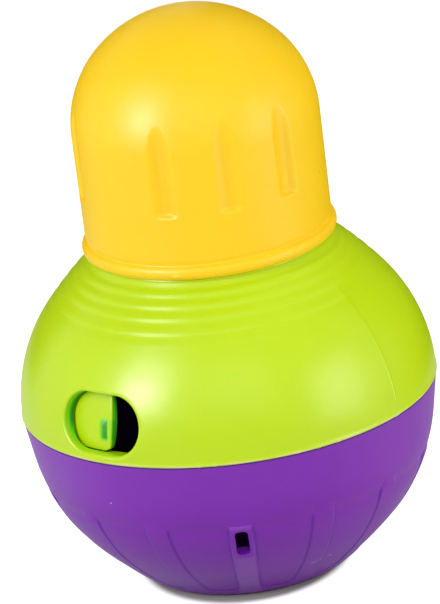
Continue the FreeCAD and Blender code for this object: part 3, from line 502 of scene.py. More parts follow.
def makeUpperShell():
    seam, wall, flankArc, crownArc = upper["seam"], upper["wall"], upper["flankArc"], upper["crownArc"]
    low, high = window["blockLow"], window["blockHigh"]
    end, crownEnd = upper["flankEnd"], upper["crownEnd"]
    flank = (upper["seamRadius"] - flankArc, seam)
    crown = onArc(flank, flankArc - crownArc, end)
    flankIn = flankArc - wall
    neck, neckIn, top = upper["neckRadius"], upper["neckInner"], upper["neckTop"]
    ridgeFoot, ridgeTop = upper["threadRows"]
    shoulder = (upper["shoulderRadius"], upper["shoulder"])
    outerBlock = arcPoints(flank, flankArc, low, high, window["blockRows"])
    innerBlock = arcPoints(flank, flankIn, high, low, window["blockRows"])
    profile = joined(
        moved(upper["lip"], upper["seamRadius"], seam),
        outerBlock,
        arcRun(flank, flankArc, high, end, 1.6),
        arcRun(crown, crownArc, end, crownEnd, 0.36),
        roundedRun([onArc(crown, crownArc, crownEnd)] + upper["brink"] + [shoulder], 0.4),
        roundedRun([shoulder, (neck, upper["shoulder"]), (neck, ridgeFoot)], 1.3),
        roundedRun([(neck, ridgeFoot), (neck, ridgeTop)], 0.45),
        roundedRun([(neck, ridgeTop), (neck, top - 1.0), (neck - 1.0, top), (neckIn, top, 0.4)]
                   + upper["ledge"], 2.5),
        arcRun(crown, crownArc - wall, crownEnd, end, 4.0),
        arcRun(flank, flankIn, end, high, 4.0),
        innerBlock,
        roundedRun(moved(upper["groove"], 0.0, seam), 3.0),
    )
    neckRow = int(np.argmax(np.hypot(profile[:, 0] - shoulder[0], profile[:, 1] - shoulder[1]) < 0.01))

    def relief(azimuth, reach, height, row):
        outside = row < neckRow
        lift = terraceHeight(height) * outside * (height > upper["terraces"][-1][0])
        for line in upper["partingLines"]:
            across = lengthFrom(line, azimuth, reach)
            fade = smooth((upper["partingTop"] - height) / 5.0)
            strength = upper["partingRise"] + upper["partingFoot"] * smooth((108 - height) / 22)
            lift = lift + strength * bell(across / upper["partingWidth"]) * fade * outside
            past = smooth(across / 0.5) * np.clip(1 - across / upper["slopeReach"], 0, 1) ** 2
            past = past * (1 - np.exp(-np.abs(across) / upper["slopeEase"]))
            past = past * smooth((149 - height) / 20) * smooth((height - seam - 1) / 12)
            lift = lift - upper["partingSlope"] * np.where(across > 0, past, 0.0) * outside
        edge = bell((height - seam - upper["lipMiddle"]) / upper["lipWidth"]) * outside * (height < seam + 3)
        lift = lift + upper["lipRise"] * edge
        for nub in upper["nubs"]:
            lift = lift + upper["nubRise"] * bell(lengthFrom(nub, azimuth, reach) / upper["nubWidth"]) * edge
        ridges = threadRidge(azimuth, height, thread["neckFoot"], thread["neckStart"], thread["neckSpan"])
        onNeck = (row > neckRow) & (reach > neck - 0.01) & (height > 151) & (height < 162)
        return lift + ridges * onNeck
    zones = [(window["azimuth"], window["blockTurn"], 0.78)]
    zones += [(line, 1.0, 0.17) for line in upper["partingLines"]]
    zones += [(nub, 1.2, 0.3) for nub in upper["nubs"]]
    azimuths = columnAngles(1.5, zones)

    def outerSurface(height, offset):
        rim = window["rimRise"] * bell((offset - window["rimMiddle"]) / window["rimWidth"])
        return arcReach(flank, flankArc + rim, height)

    def innerSurface(height, offset):
        collar = window["collar"] * (1 - smooth((offset - 1.6) / 1.4))
        return arcReach(flank, flankIn - collar, height)
    core = (window["length"] / 2 - window["radius"], 0.0)
    opening = placedOpening(window, window["azimuth"], profile, azimuths, outerBlock, innerBlock,
                            core=core, outer=outerSurface, inner=innerSurface)

    # Painted highlight along the flash under the lip, in patches round it.
    def tone(azimuth, reach, height, row):
        patchy = 0.65 + 0.35 * np.cos(np.radians(azimuth) * upper["flashPatches"])
        return upper["flashPaintedHighlight"] * patchy * (1 - smooth((height - seam - 0.5) / 0.5)) * (row < neckRow)
    made = turnedSkin("upperShell", profile, azimuths, relief, [opening], tone)
    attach(made, "base")
    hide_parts("upper_shell")
    return made


# Purple lower shell: fourteen raised strips that run into a bottom ring, with an outlet hole in two of them.
lower = {
    "seam": 80.0,
    "seamRadius": 92.0,
    "wall": 3.0,
    "draft": 9.15,
    "cone": 17.0,
    "bellyArc": 82.65,
    "bellyAngle": 43.6,
    "heelArc": 200.0,
    "foot": 1.0,
    "heel": 1.8,
    "floor": 5.2,
    "ringTop": 5.4,
    "underside": [(6.0, 1.0), (35.9, 1.0), (35.9, 3.0), (46.1, 3.0), (46.1, 1.0), (46.9, 1.0)],
    "heelRound": [(47.5, 1.02), (48.05, 1.13), (48.45, 1.4)],
    "floorReach": (43.0, 5.0),
    # From the axis and up from the seam:
    "lip": [(91.85, -1.0), (91.93, -0.5), (91.9, -0.15), (91.72, 0.0)],
    "tongue": [(91.72, 0.0), (91.0, 0.0), (91.0, 2.0), (89.9, 2.0), (89.9, 0.0)],
    "ringRows": 14.0,         # rows stand closer below here and up to the strips' ends
    "stripRows": 51.0,
    "strips": [0.0, 25.2, 49.8, 77.0, 103.0, 130.2, 154.8, 180.0, 205.2, 229.8, 257.0, 283.0, 310.2, 334.8],
    "stripAzimuth": -1.8,     # where the first strip stands
    "stripWidth": 9.2,
    "stripTaper": 0.8,        # how much narrower a strip is at the ring
    "taperTop": 40.0,
    "taperHeight": 30.0,
    "stripTop": 49.0,
    "stripRise": 0.34,
    "framed": (0, 7),         # the strips that frame a hole stand further out
    "framedRise": 0.75,
    "framedEase": 12.0,
    "stripFade": 3.0,         # length over which the other strips run out at their top
    "reliefFoot": 1.5,
    "bevel": 0.85,
    "panelCorner": 5.0,
    "creaseHeight": 47.0,
    "creaseDepth": 0.38,
    "creaseWidth": 3.6,
    "framedTone": 0.1,        # and are paler
    "stripFootPaintedShade": -0.9,         # shade painted along the foot of the strips
    "gapPaintedShade": -2.0,          # and in the gap under the green lip
}
outlet = {
    "azimuths": [-1.8, 178.2],
    "height": 39.25,
    "tall": 13.5,
    "width": 5.7,
    "radius": 1.9,            # of its corners
    "edgeRound": 0.35,
    "innerRound": 0.3,
    "ramp": 2.6,              # climb of the sill toward the inside
    "rings": 3,
    "blockTurn": 3.25,
    "blockLow": 30.6,
    "blockHigh": 47.6,
    "blockRows": 19,
    "wallPaintedShade": 0.0,
    "sillPaintedShade": 0.0,
    "lean": 0.0,
    "sink": 0.0,
    "leanPaintedShade": 0.0,
}


def lowerCentres():
    draft = math.radians(lower["draft"])
    cone = (lower["seamRadius"] - lower["cone"] * math.tan(draft), lower["seam"] - lower["cone"])
    belly = onArc(cone, -lower["bellyArc"], -lower["draft"])
    heel = onArc(belly, lower["bellyArc"] - lower["heelArc"], -lower["bellyAngle"])
    return cone, belly, heel


def makeLowerShell():
    cone, belly, heel = lowerCentres()
    wall, bellyArc, heelArc, draft = lower["wall"], lower["bellyArc"], lower["heelArc"], lower["draft"]
    seam, seamIn = lower["seam"], lower["seamRadius"] - wall / math.cos(math.radians(draft))
    turn, innerArc = -lower["bellyAngle"], bellyArc - wall

    def angleAt(centre, radius, height):
        return math.degrees(math.asin((height - centre[1]) / radius))
    heelFoot, ringAngle = (angleAt(heel, heelArc, height) for height in (lower["heel"], lower["ringRows"]))
    blockLow, blockHigh = (angleAt(belly, bellyArc, outlet[end]) for end in ("blockLow", "blockHigh"))
    innerLow, innerHigh = (angleAt(belly, innerArc, outlet[end]) for end in ("blockLow", "blockHigh"))
    stripEnd = angleAt(belly, bellyArc, lower["stripRows"])
    floorAngle = angleAt(heel, heelArc - wall, lower["floor"])
    outerBlock = arcPoints(belly, bellyArc, blockLow, blockHigh, outlet["blockRows"])
    innerBlock = arcPoints(belly, innerArc, innerHigh, innerLow, outlet["blockRows"])
    lip = moved(lower["lip"], 0.0, seam)
    profile = joined(
        [(0.0, lower["foot"])],
        roundedRun(lower["underside"], 6.0),
        lower["heelRound"],
        arcRun(heel, heelArc, heelFoot, ringAngle, 0.62),
        arcRun(heel, heelArc, ringAngle, turn, 1.6),
        arcRun(belly, bellyArc, turn, blockLow, 1.5),
        outerBlock,
        arcRun(belly, bellyArc, blockHigh, stripEnd, 0.5),
        arcRun(belly, bellyArc, stripEnd, -draft, 1.8),
        roundedRun([cone, lip[0]], 2.5),
        lip,
        roundedRun(moved(lower["tongue"], 0.0, seam) + [(seamIn, seam)], 3.0),
        arcRun(belly, innerArc, -draft, innerHigh, 5.0),
        innerBlock,
        arcRun(belly, innerArc, innerLow, turn, 5.0),
        arcRun(heel, heelArc - wall, turn, floorAngle, 5.0),
        roundedRun([onArc(heel, heelArc - wall, floorAngle)]
                   + [(reach, lower["floor"]) for reach in lower["floorReach"]], 9.0),
        [(0.0, lower["floor"])],
    )
    seamRow = int(np.argmax(profile[:, 0] > lower["seamRadius"] - 0.1))
    ringRow = min(range(8, seamRow), key=lambda row: abs(profile[row][1] - lower["ringTop"]))
    run = np.concatenate([[0], np.cumsum(np.linalg.norm(np.diff(profile, axis=0), axis=1))])
    stripTurns = np.array(lower["strips"]) + lower["stripAzimuth"]

    # Whether the nearest strip frames a hole, the ways past its side and above the ring, and into the panel.
    def panelAt(azimuth, reach, height, row):
        aways = (azimuth[..., None] - stripTurns + 180) % 360 - 180
        number = np.argmin(np.abs(aways), axis=-1)
        away = np.take_along_axis(aways, number[..., None], axis=-1)[..., 0]
        taper = lower["stripTaper"] * smooth((lower["taperTop"] - height) / lower["taperHeight"])
        beside = np.abs(np.radians(away)) * reach - (lower["stripWidth"] - taper) / 2
        above = run[row] - run[ringRow]
        corner = lower["panelCorner"]
        rounded = corner - np.hypot(corner - beside, corner - above)
        panel = np.where((beside < corner) & (above < corner), rounded, np.minimum(beside, above))
        return np.isin(number, lower["framed"]), beside, above, panel

    def relief(azimuth, reach, height, row):
        outside = (row < seamRow) & (height > lower["reliefFoot"])
        framed, beside, above, panel = panelAt(azimuth, reach, height, row)
        extra = (lower["framedRise"] - lower["stripRise"]) * smooth(above / lower["framedEase"])
        rise = lower["stripRise"] + np.where(framed, extra, 0.0)
        fall = smooth(panel / lower["bevel"])
        ends = smooth((lower["stripTop"] - height) / np.where(framed, lower["bevel"], lower["stripFade"]))
        valley = bell((height - lower["creaseHeight"]) / lower["creaseWidth"])
        framed = framed & (beside < 0.5) & (height < lower["stripTop"])
        crease = lower["creaseDepth"] * valley * np.where(framed, 0.0, smooth(panel + 1 - ends))
        tail = smooth((height - lower["reliefFoot"]) / 0.8)
        return (rise * (1 - fall) * ends * tail - crease) * outside
    zones = [(middle + side, 1.55, 0.31) for middle in stripTurns for side in (-4.2, 4.2)]
    zones += [(azimuth, outlet["blockTurn"], 0.325) for azimuth in outlet["azimuths"]]
    azimuths = columnAngles(2.2, zones)

    def outerSurface(height, offset):
        return arcReach(belly, bellyArc + lower["framedRise"], height)

    def innerSurface(height, offset):
        return arcReach(belly, innerArc, height)
    core = (outlet["width"] / 2 - outlet["radius"], outlet["tall"] / 2 - outlet["radius"])
    openings = [placedOpening(outlet, azimuth, profile, azimuths, outerBlock, innerBlock,
                              core=core, outer=outerSurface, inner=innerSurface)
                for azimuth in outlet["azimuths"]]

    # The framed strips are paler; shade is painted along the foot of the strips and in the gap under the
    # green lip.
    def tone(azimuth, reach, height, row):
        framed, beside, above, panel = panelAt(azimuth, reach, height, row)
        strip = smooth((lower["stripTop"] - height) / 2.0) * (row < seamRow) * (height > lower["reliefFoot"])
        pale = lower["framedTone"] * framed * (1 - smooth(beside / lower["bevel"]))
        gap = smooth((height - seam + 1.0) / 0.4) * (row <= seamRow + 3) * (height <= seam)
        foot = lower["stripFootPaintedShade"] * bell((panel - lower["bevel"]) / 0.5)
        return (pale + foot) * strip + lower["gapPaintedShade"] * gap
    made = turnedSkin("lowerShell", profile, azimuths, relief, openings, tone)
    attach(made, "base")
    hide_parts("lower_shell")
    return made


# Green sliding door behind the window: a curved plate with a deep leading edge and a finger grip, with shade
# painted on the grip, the leading edge and the gap under its front face.
door = {
    "arcCentre": (20.0, 80.0),
    "inner": 65.0,
    "outer": 66.3,
    "rebate": 65.2,           # the front face stops above a set-back foot, with shade painted in the gap
    "rebateTop": 2.75,
    "rebatePaintedShade": -2.0,
    "span": (-67.4, -37.3),
    "rise": (1.0, 28.0),
    "leadingRise": (3.2, 25.0),
    "leadingInner": 63.6,
    "leadingSlant": 0.8,      # how far the end face leans out toward the inside
    "leadingFrom": -38.6,
    # Shade painted on the leading edge's rounding, and darker on its end face and the door's inside:
    "leadingPaintedShade": (-0.8, -2.0),
    "leadingBow": 0.6,        # how far the leading edge falls back toward its ends
    "leadingCorner": 2.2,     # rounding of its lower corner
    "grip": (-42.6, -38.6),
    "gripRise": (5.8, 15.8),
    "gripHeight": 0.7,
    "gripCrest": 0.45,        # share of the grip's width at which it stands highest
    # Shade painted on the grip's right flank:
    "gripPaintedShade": -1.85,
    "besideGripPaintedShade": -0.5,   # shade painted between the grip and the leading edge
    "edgeRound": 0.9,
    "reach": 84.0,            # the leading edge's distance from the upright
    "gripReach": 70.0,
    "fineFrom": -42.2,        # columns stand closer past here
}


def makeDoor():
    (first, last), grip, outer, bend = door["span"], door["grip"], door["outer"], door["leadingCorner"]
    leadingFrom, foot, depth = door["leadingFrom"], door["rebateTop"], door["edgeRound"]
    degree = math.radians(1)
    runs = [*np.arange(first + 1.5, door["fineFrom"], 0.5), *np.arange(door["fineFrom"], last - 0.4, 0.1)]
    azimuths = {round(float(angle), 3) for angle in runs}
    azimuths |= {first + gap for gap in (0.0, 0.08, 0.2, 0.36)}
    azimuths |= {last - gap for gap in (0.0, 0.05, 0.13, 0.24, 0.3, 0.36)}
    azimuths = sorted(azimuths)
    shares = [0, 0.003, 0.008, 0.014, *np.linspace(0.02, 0.17, 46), *np.linspace(0.18, 0.6, 44)]
    shares += [*np.linspace(0.62, 0.98, 20), 0.986, 0.992, 0.997, 1]

    def place(azimuth, share, outside):
        atLip = smooth((azimuth - leadingFrom + 0.5) / 1.6)
        low, high = (end + (lip - end) * atLip for end, lip in zip(door["rise"], door["leadingRise"]))
        rise = low + (high - low) * share
        toEnd = min(azimuth - first, last - azimuth) * degree * door["reach"]
        toSide = min(share, 1 - share) * (high - low) * degree * outer
        edge = min(toEnd, toSide, depth)
        drop = depth - math.sqrt(max(depth ** 2 - (depth - edge) ** 2, 0.0))
        short = min(max(bend - (rise - foot) * degree * outer, 0.0), bend)
        bow = door["leadingBow"] * ((rise - 14) / 9) ** 2
        back = bow + (bend - math.sqrt(bend ** 2 - short ** 2)) / 1.45
        azimuth = azimuth - back * smooth((azimuth - leadingFrom + 2.5) / (last - leadingFrom + 2.5))
        past = azimuth - leadingFrom
        if not outside:
            radius = door["inner"] + (door["leadingInner"] - door["inner"]) * smooth(past / 0.5) + drop * 0.5
            slant = door["leadingSlant"] * smooth(past / 1.7)
            # The inside and the end face carry the darkest painted shade.
            return azimuth + slant, rise, radius, door["leadingPaintedShade"][1]
        along = (azimuth - grip[0]) / (grip[1] - grip[0])
        ramp = smooth(along / door["gripCrest"]) * smooth((1 - along) / (1 - door["gripCrest"]))
        sides = min(rise - door["gripRise"][0], door["gripRise"][1] - rise) * degree * door["gripReach"]
        lift = door["gripHeight"] * ramp * smooth(sides / 4.0)
        # Shade painted on the grip's right flank, beside it toward the leading edge, in the gap under the
        # front face and on the leading edge's rounding.
        shade = door["gripPaintedShade"] * smooth((along - 0.08) / 0.6) * smooth((0.98 - along) / 0.16)
        shade = (shade + door["besideGripPaintedShade"] * smooth((along - 0.95) / 0.15)) * smooth(sides / 2.8)
        setBack = smooth((foot - rise) / 0.4)
        shade += door["rebatePaintedShade"] * setBack
        shade += door["leadingPaintedShade"][0] * smooth(1.2 * drop / depth) * (rise > foot)
        return azimuth, rise, outer + (door["rebate"] - outer) * setBack - drop + lift, shade
    points, tones = [], []
    for outside in (True, False):
        for share in shares:
            for azimuth in azimuths:
                turned, rise, radius, tone = place(azimuth, share, outside)
                reach, height = onArc(door["arcCentre"], radius, rise)
                turn = math.radians(turned)
                points.append((reach * math.sin(turn), -reach * math.cos(turn), height))
                tones.append(tone)
    rows, columns = len(shares), len(azimuths)
    sheet = rows * columns
    faces = []
    for row in range(rows - 1):
        for column in range(columns - 1):
            corner = row * columns + column
            corners = [corner, corner + 1, corner + columns + 1, corner + columns]
            faces += [corners, [sheet + spot for spot in (corners[0], corners[3], corners[2], corners[1])]]
    rim = list(range(columns)) + [row * columns + columns - 1 for row in range(1, rows)]
    rim += [sheet - 1 - column for column in range(1, columns)]
    rim += [row * columns for row in range(rows - 2, 0, -1)]
    for here, following in zip(rim, rim[1:] + rim[:1]):
        faces.append([here, sheet + here, sheet + following, following])
    made = makeObject("doorPanel", points, faces, tones, 50.0)
    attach(made, "door")
    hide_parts("sliding_door")
    return made


domeCap = makeDome()
upperShell = makeUpperShell()
lowerShell = makeLowerShell()
doorPanel = makeDoor()
print("skins: dome, upper shell, lower shell and door")


def linear(colour):
    parts = [int(colour[place:place + 2], 16) / 255 for place in (1, 3, 5)]
    return [part / 12.92 if part <= 0.04045 else ((part + 0.055) / 1.055) ** 2.4 for part in parts] + [1.0]


# Adds a shader node and gives back one of its outputs.
def addNode(tree, kind, values=None, links=None, out=0, **settings):
    node = tree.nodes.new("ShaderNode" + kind)
    for name, value in settings.items():
        setattr(node, name, value)
    for name, value in (values or {}).items():
        node.inputs[name].default_value = value
    for name, source in (links or {}).items():
        tree.links.new(source, node.inputs[name])
    return node.outputs[out] if node.outputs else None


def bareMaterial(name):
    material = bpy.data.materials.new(name)
    material.use_nodes = True
    material.node_tree.nodes.clear()
    return material, material.node_tree


# What the moulded plastics share. Scales are per metre.
moulding = {
    "mottleScale": 45.0,
    "glossSpread": 0.05,
    "bumpDistance": 0.0001,
    "stretch": (1.0, 1.0, 9.0),
    "stretchTurn": (0.5, 0.35, 0.2),
    "scratchScale": 160.0,
    "scratches": (0.68, 0.8),     # where the stretched noise becomes a scratch
    "scratchShare": 0.5,
    "scratchRoughness": 0.12,
    "markCore": 0.3,              # share of a mark's radius that has its full tone
    "dullTones": (-0.6, -2.0),
    "glowScale": 0.002,
}


# Moulded plastic: a spark-eroded grain, soft mottling from the melt, handling marks and fine scratches, with
# painted shade and painted highlight mixed in by the tone attribute.
def mouldedPlastic(name, look):
    material, tree = bareMaterial(name)
    place = addNode(tree, "TexCoord", out="Object")
    mottle = addNode(tree, "TexNoise", {"Scale": moulding["mottleScale"], "Detail": 3.0}, {"Vector": place})
    grain = addNode(tree, "TexNoise", {"Scale": look["grainScale"], "Detail": 3.0, "Roughness": 0.6},
                    {"Vector": place})
    stretched = addNode(tree, "Mapping", {"Scale": moulding["stretch"], "Rotation": moulding["stretchTurn"]},
                        {"Vector": place})
    scratch = addNode(tree, "TexNoise", {"Scale": moulding["scratchScale"], "Detail": 2.0,
                                         "Distortion": 0.4}, {"Vector": stretched})
    start, stop = moulding["scratches"]
    scuffed = addNode(tree, "MapRange", {"From Min": start, "From Max": stop,
                                         "To Max": moulding["scratchShare"]}, {"Value": scratch})
    tone = addNode(tree, "Attribute", out="Fac", attribute_name="tone")
    for *spot, radius, strength in look["marks"]:
        spot = tuple(part * mm for part in spot)
        away = addNode(tree, "VectorMath", {1: spot}, {0: place}, out="Value", operation="DISTANCE")
        core = moulding["markCore"] * radius
        near = addNode(tree, "MapRange", {"From Min": radius * mm, "From Max": core * mm}, {"Value": away})
        tone = addNode(tree, "Math", {1: strength}, {0: near, 2: tone}, operation="MULTIPLY_ADD")
    # A Mix node's colours are its inputs 6 and 7 and its output 2.
    colour = addNode(tree, "Mix", {6: linear(look["shade"]), 7: linear(look["colour"])}, {0: mottle},
                     out=2, data_type="RGBA")
    # Painted shade below 0 and painted highlight or paler colour above 0, from the tone attribute and the
    # marks.
    for start, stop, other in ((0.0, -1.0, "shadeAndMarkColour"), (-1.0, -2.0, "deep"), (0.0, 1.0, "pale")):
        share = addNode(tree, "MapRange", {"From Min": start, "From Max": stop}, {"Value": tone})
        colour = addNode(tree, "Mix", {7: linear(look[other])}, {0: share, 6: colour},
                         out=2, data_type="RGBA")
    low, high = look["roughness"] - moulding["glossSpread"], look["roughness"] + moulding["glossSpread"]
    gloss = addNode(tree, "MapRange", {"To Min": low, "To Max": high}, {"Value": mottle})
    rough = addNode(tree, "Math", {1: moulding["scratchRoughness"]}, {0: scuffed, 2: gloss},
                    operation="MULTIPLY_ADD")
    start, stop = moulding["dullTones"]
    dull = addNode(tree, "MapRange", {"From Min": start, "From Max": stop, "To Max": look["dullness"]},
                   {"Value": tone})
    rough = addNode(tree, "Math", {}, {0: rough, 1: dull}, operation="ADD")
    bump = addNode(tree, "Bump", {"Strength": look["grainStrength"], "Distance": moulding["bumpDistance"]},
                   {"Height": grain})
    shader = addNode(tree, "BsdfPrincipled", {
        "IOR": 1.5,
        "Subsurface Weight": look["glow"],
        "Subsurface Radius": look["glowRadius"],
        "Subsurface Scale": moulding["glowScale"],
    }, {"Base Color": colour, "Roughness": rough, "Normal": bump})
    addNode(tree, "OutputMaterial", {}, {"Surface": shader})
    return material


# The look's two darker colours are painted shade, mixed in where the tone attribute falls below 0 and below
# -1 (in recesses, walls, flanks and gaps) and for dark marks; its pale colour is mixed in above 0, as
# painted highlight, paler strips and pale marks. Marks are small worn or dirty spots: x, y, z, radius and
# tone.
# Polypropylene, moulded with a satin grain: warm yellow that glows a little where it is thin.
yellowPlastic = mouldedPlastic("yellowPolypropylene", {
    "colour": "#FFD30A", "shade": "#FFCD00", "shadeAndMarkColour": "#FFC800", "deep": "#D08000", "pale": "#FFE680",
    "roughness": 0.42, "dullness": 0.35, "grainScale": 2600.0, "grainStrength": 0.2,
    "glow": 0.15, "glowRadius": (1.0, 0.7, 0.15),
    "marks": [(49.8, -20.9, 180.4, 1.0, -1.6), (-36.4, -39.9, 191.6, 0.7, -0.8)],
})
# Polypropylene, moulded smooth: acid green with a soft gloss.
greenPlastic = mouldedPlastic("greenPolypropylene", {
    "colour": "#C2E100", "shade": "#BCDC00", "shadeAndMarkColour": "#58DC00", "deep": "#1C7E00", "pale": "#F2D8C0",
    "roughness": 0.31, "dullness": 0.15, "grainScale": 2200.0, "grainStrength": 0.12,
    "glow": 0.08, "glowRadius": (0.7, 1.0, 0.15),
    "marks": [(0.6, -82.3, 116.0, 0.7, -0.3)],
})
# Polypropylene, moulded with a satin grain: deep violet.
purplePlastic = mouldedPlastic("purplePolypropylene", {
    "colour": "#8321BA", "shade": "#7915B0", "shadeAndMarkColour": "#5C069E", "deep": "#400862", "pale": "#D0A8E8",
    "roughness": 0.4, "dullness": 0.35, "grainScale": 2200.0, "grainStrength": 0.2,
    "glow": 0.05, "glowRadius": (0.6, 0.25, 1.0),
    "marks": [(-56.2, -68.5, 59.9, 0.5, 2.0), (26.2, -60.5, 17.5, 0.8, 1.0), (27.4, -60.2, 17.8, 0.8, 1.2),
              (28.8, -59.8, 18.2, 0.8, 1.2), (30.0, -59.5, 18.4, 0.8, 1.0), (34.4, -57.1, 18.3, 0.8, 1.0)],
})


# Soft or metal stock in one colour: mottled, with a grain of a stated size and its own gloss.
def plainStock(name, look, glossSpread=0.07, bumpDistance=0.0002):
    material, tree = bareMaterial(name)
    place = addNode(tree, "TexCoord", out="Object")
    mottle = addNode(tree, "TexNoise", {"Scale": look["mottleScale"], "Detail": 5.0}, {"Vector": place})
    grain = addNode(tree, "TexVoronoi", {"Scale": look["grainScale"]}, {"Vector": place})
    colour = addNode(tree, "ValToRGB", {}, {"Fac": mottle})
    for stop, position, end in zip(colour.node.color_ramp.elements, (0.3, 0.7), ("shade", "colour")):
        stop.position = position
        stop.color = linear(look[end])
    low, high = look["roughness"] - glossSpread, look["roughness"] + glossSpread
    gloss = addNode(tree, "MapRange", {"To Min": low, "To Max": high}, {"Value": mottle})
    bump = addNode(tree, "Bump", {"Strength": look["grainStrength"], "Distance": bumpDistance},
                   {"Height": grain})
    values = {"Metallic": look["metallic"]}
    if look["metallic"] == 0.0:
        values["IOR"] = look["ior"]
    shader = addNode(tree, "BsdfPrincipled", values,
                     {"Base Color": colour, "Roughness": gloss, "Normal": bump})
    addNode(tree, "OutputMaterial", {}, {"Surface": shader})
    return material


# Thermoplastic rubber, moulded: soft black that scatters light evenly.
footRubber = plainStock("moulded rubber", {
    "colour": "#2B2B2D", "shade": "#1F1F21", "roughness": 0.75, "metallic": 0.0, "ior": 1.5,
    "mottleScale": 60.0, "grainScale": 1500.0, "grainStrength": 0.3,
})
# Silicone, moulded: milky white with a faint sheen.
sealSilicone = plainStock("moulded silicone", {
    "colour": "#E4E2DA", "shade": "#D8D6CC", "roughness": 0.45, "metallic": 0.0, "ior": 1.41,
    "mottleScale": 80.0, "grainScale": 1200.0, "grainStrength": 0.15,
})
# Polyurethane foam, cut: open cells in dark grey.
padFoam = plainStock("polyurethane foam", {
    "colour": "#6A6A70", "shade": "#3C3C42", "roughness": 0.92, "metallic": 0.0, "ior": 1.45,
    "mottleScale": 700.0, "grainScale": 900.0, "grainStrength": 0.9,
})
# Grey iron, sand cast: dull dark metal with a coarse skin.
castIron = plainStock("sand-cast iron", {
    "colour": "#6C6A68", "shade": "#504E4C", "roughness": 0.62, "metallic": 1.0,
    "mottleScale": 120.0, "grainScale": 800.0, "grainStrength": 0.7,
})
# Steel with a rolled thread, blackened in oxide: dark metal with a dull shine.
blackSteel = plainStock("blackened steel", {
    "colour": "#46464A", "shade": "#333336", "roughness": 0.45, "metallic": 1.0,
    "mottleScale": 150.0, "grainScale": 2500.0, "grainStrength": 0.1,
})

finishes = {
    "foot_ring": footRubber,
    "weight_disc": castIron,
    "weight_pad": padFoam,
    "weight_cover": purplePlastic,
    "cover_screws": blackSteel,
    "divider_screws": blackSteel,
    "pivot_screw": blackSteel,
    "pivot_washer": blackSteel,
    "door_upper_rail": greenPlastic,
    "door_lower_rail": greenPlastic,
    "divider_plate": greenPlastic,
    "shutter_disc": yellowPlastic,
    "cap_seal": sealSilicone,
}
for node, finish in finishes.items():
    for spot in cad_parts[node].material_slots:
        spot.material = finish
for piece, finish in ((domeCap, yellowPlastic), (upperShell, greenPlastic), (doorPanel, greenPlastic),
                      (lowerShell, purplePlastic)):
    piece.data.materials.append(finish)
print("materials: 8")


# Camera: an elevation and a roll about the aimed line, from 1.8 m.
camera = {
    "elevation": 20.936,
    "distance": 1800.0,
    "pivot": (0.0, 0.0, 80.0),
    "aim": (0.764, 13.376, 114.96),
    "roll": 7.165,
    "lens": 242.8,
    "sensor": 36.0,
    "clipEnd": 10.0,
}


def makeCamera():
    rise = math.radians(camera["elevation"])
    spot = Vector(camera["pivot"]) + camera["distance"] * Vector((0, -math.cos(rise), math.sin(rise)))
    forward = (Vector(camera["aim"]) - spot).normalized()
    right = forward.cross(Vector((0, 0, 1))).normalized()
    up = right.cross(forward)
    roll = math.radians(camera["roll"])
    tiltedRight = math.cos(roll) * right - math.sin(roll) * up
    tiltedUp = math.sin(roll) * right + math.cos(roll) * up
    data = bpy.data.cameras.new("camera")
    data.lens, data.sensor_fit, data.sensor_height = camera["lens"], "VERTICAL", camera["sensor"]
    data.clip_end = camera["clipEnd"]
    made = bpy.data.objects.new("camera", data)
    turn = Matrix((tiltedRight, tiltedUp, -forward)).transposed().to_4x4()
    made.matrix_world = Matrix.Translation(spot * mm) @ turn
    scene.collection.objects.link(made)
    scene.camera = made


# Lamps are upright boxes aimed at the object's middle, each at an azimuth, an elevation and a distance in
# metres, and as wide and high as size says. shows says which rays see it.
lamps = {
    "keyBox": {"azimuth": -51.5, "elevation": 29.0, "distance": 1.0, "size": (0.42, 0.6), "power": 4.95,
               "shows": "all"},
    "keyHeart": {"azimuth": -52.0, "elevation": 21.5, "distance": 1.0, "size": (0.26, 0.26), "power": 3.9,
                 "shows": "gloss"},
    "frontBox": {"azimuth": 5.0, "elevation": 30.0, "distance": 1.6, "size": (1.0, 1.0), "power": 3.2,
                 "shows": "all"},
    "sideBox": {"azimuth": 60.0, "elevation": 7.0, "distance": 1.0, "size": (0.5, 0.6), "power": 3.55,
                "shows": "all", "colour": "#FFFAEE"},
    "backBox": {"azimuth": 118.0, "elevation": 58.0, "distance": 1.2, "size": (0.8, 0.8), "power": 2.3,
                "shows": "colour"},
    "lowBox": {"azimuth": 88.0, "elevation": 4.0, "distance": 0.9, "size": (0.7, 0.2), "power": 0.9,
               "shows": "colour", "colour": "#FFFAEE"},
    "leftBox": {"azimuth": -105.0, "elevation": 5.0, "distance": 0.9, "size": (0.5, 0.3), "power": 0.6,
                "shows": "colour"},
}
lampAim = (0.0, 0.0, 0.12)
# The air and the board are seen as white, and are reflected at this share of it.
surroundings = {"diffuse": 0.48, "seen": 1.0, "reflected": 0.5}
# Cards that only reflections show, each turned from one azimuth to another about the object's axis along a
# run of distances and heights: dark ones at the right and behind, pale ones on the board, grey ones overhead
# that reach further out behind the object.
cards = [
    {"turns": (92.0, 174.0), "run": [(0.3, 0.002), (0.3, 0.6)], "colour": "#202020"},
    {"turns": (-176.0, -122.0), "run": [(0.4, 0.05), (0.4, 0.42)], "colour": "#2C2C2C"},
    {"turns": (-150.0, -100.0), "run": [(0.15, 0.002), (0.42, 0.002)], "colour": "#E0E0E0"},
    {"turns": (-100.0, 80.0), "run": [(0.14, 0.002), (0.7, 0.002)], "colour": "#FFFFFF"},
    {"turns": (0.0, 360.0), "run": [(0.0, 0.95), (0.28, 0.95)], "colour": "#707070"},
    {"turns": (75.0, 255.0), "run": [(0.28, 0.95), (1.1, 0.95)], "colour": "#909090"},
    {"turns": (255.0, 300.0), "run": [(0.28, 0.95), (1.1, 0.95)], "colour": "#505050"},
]
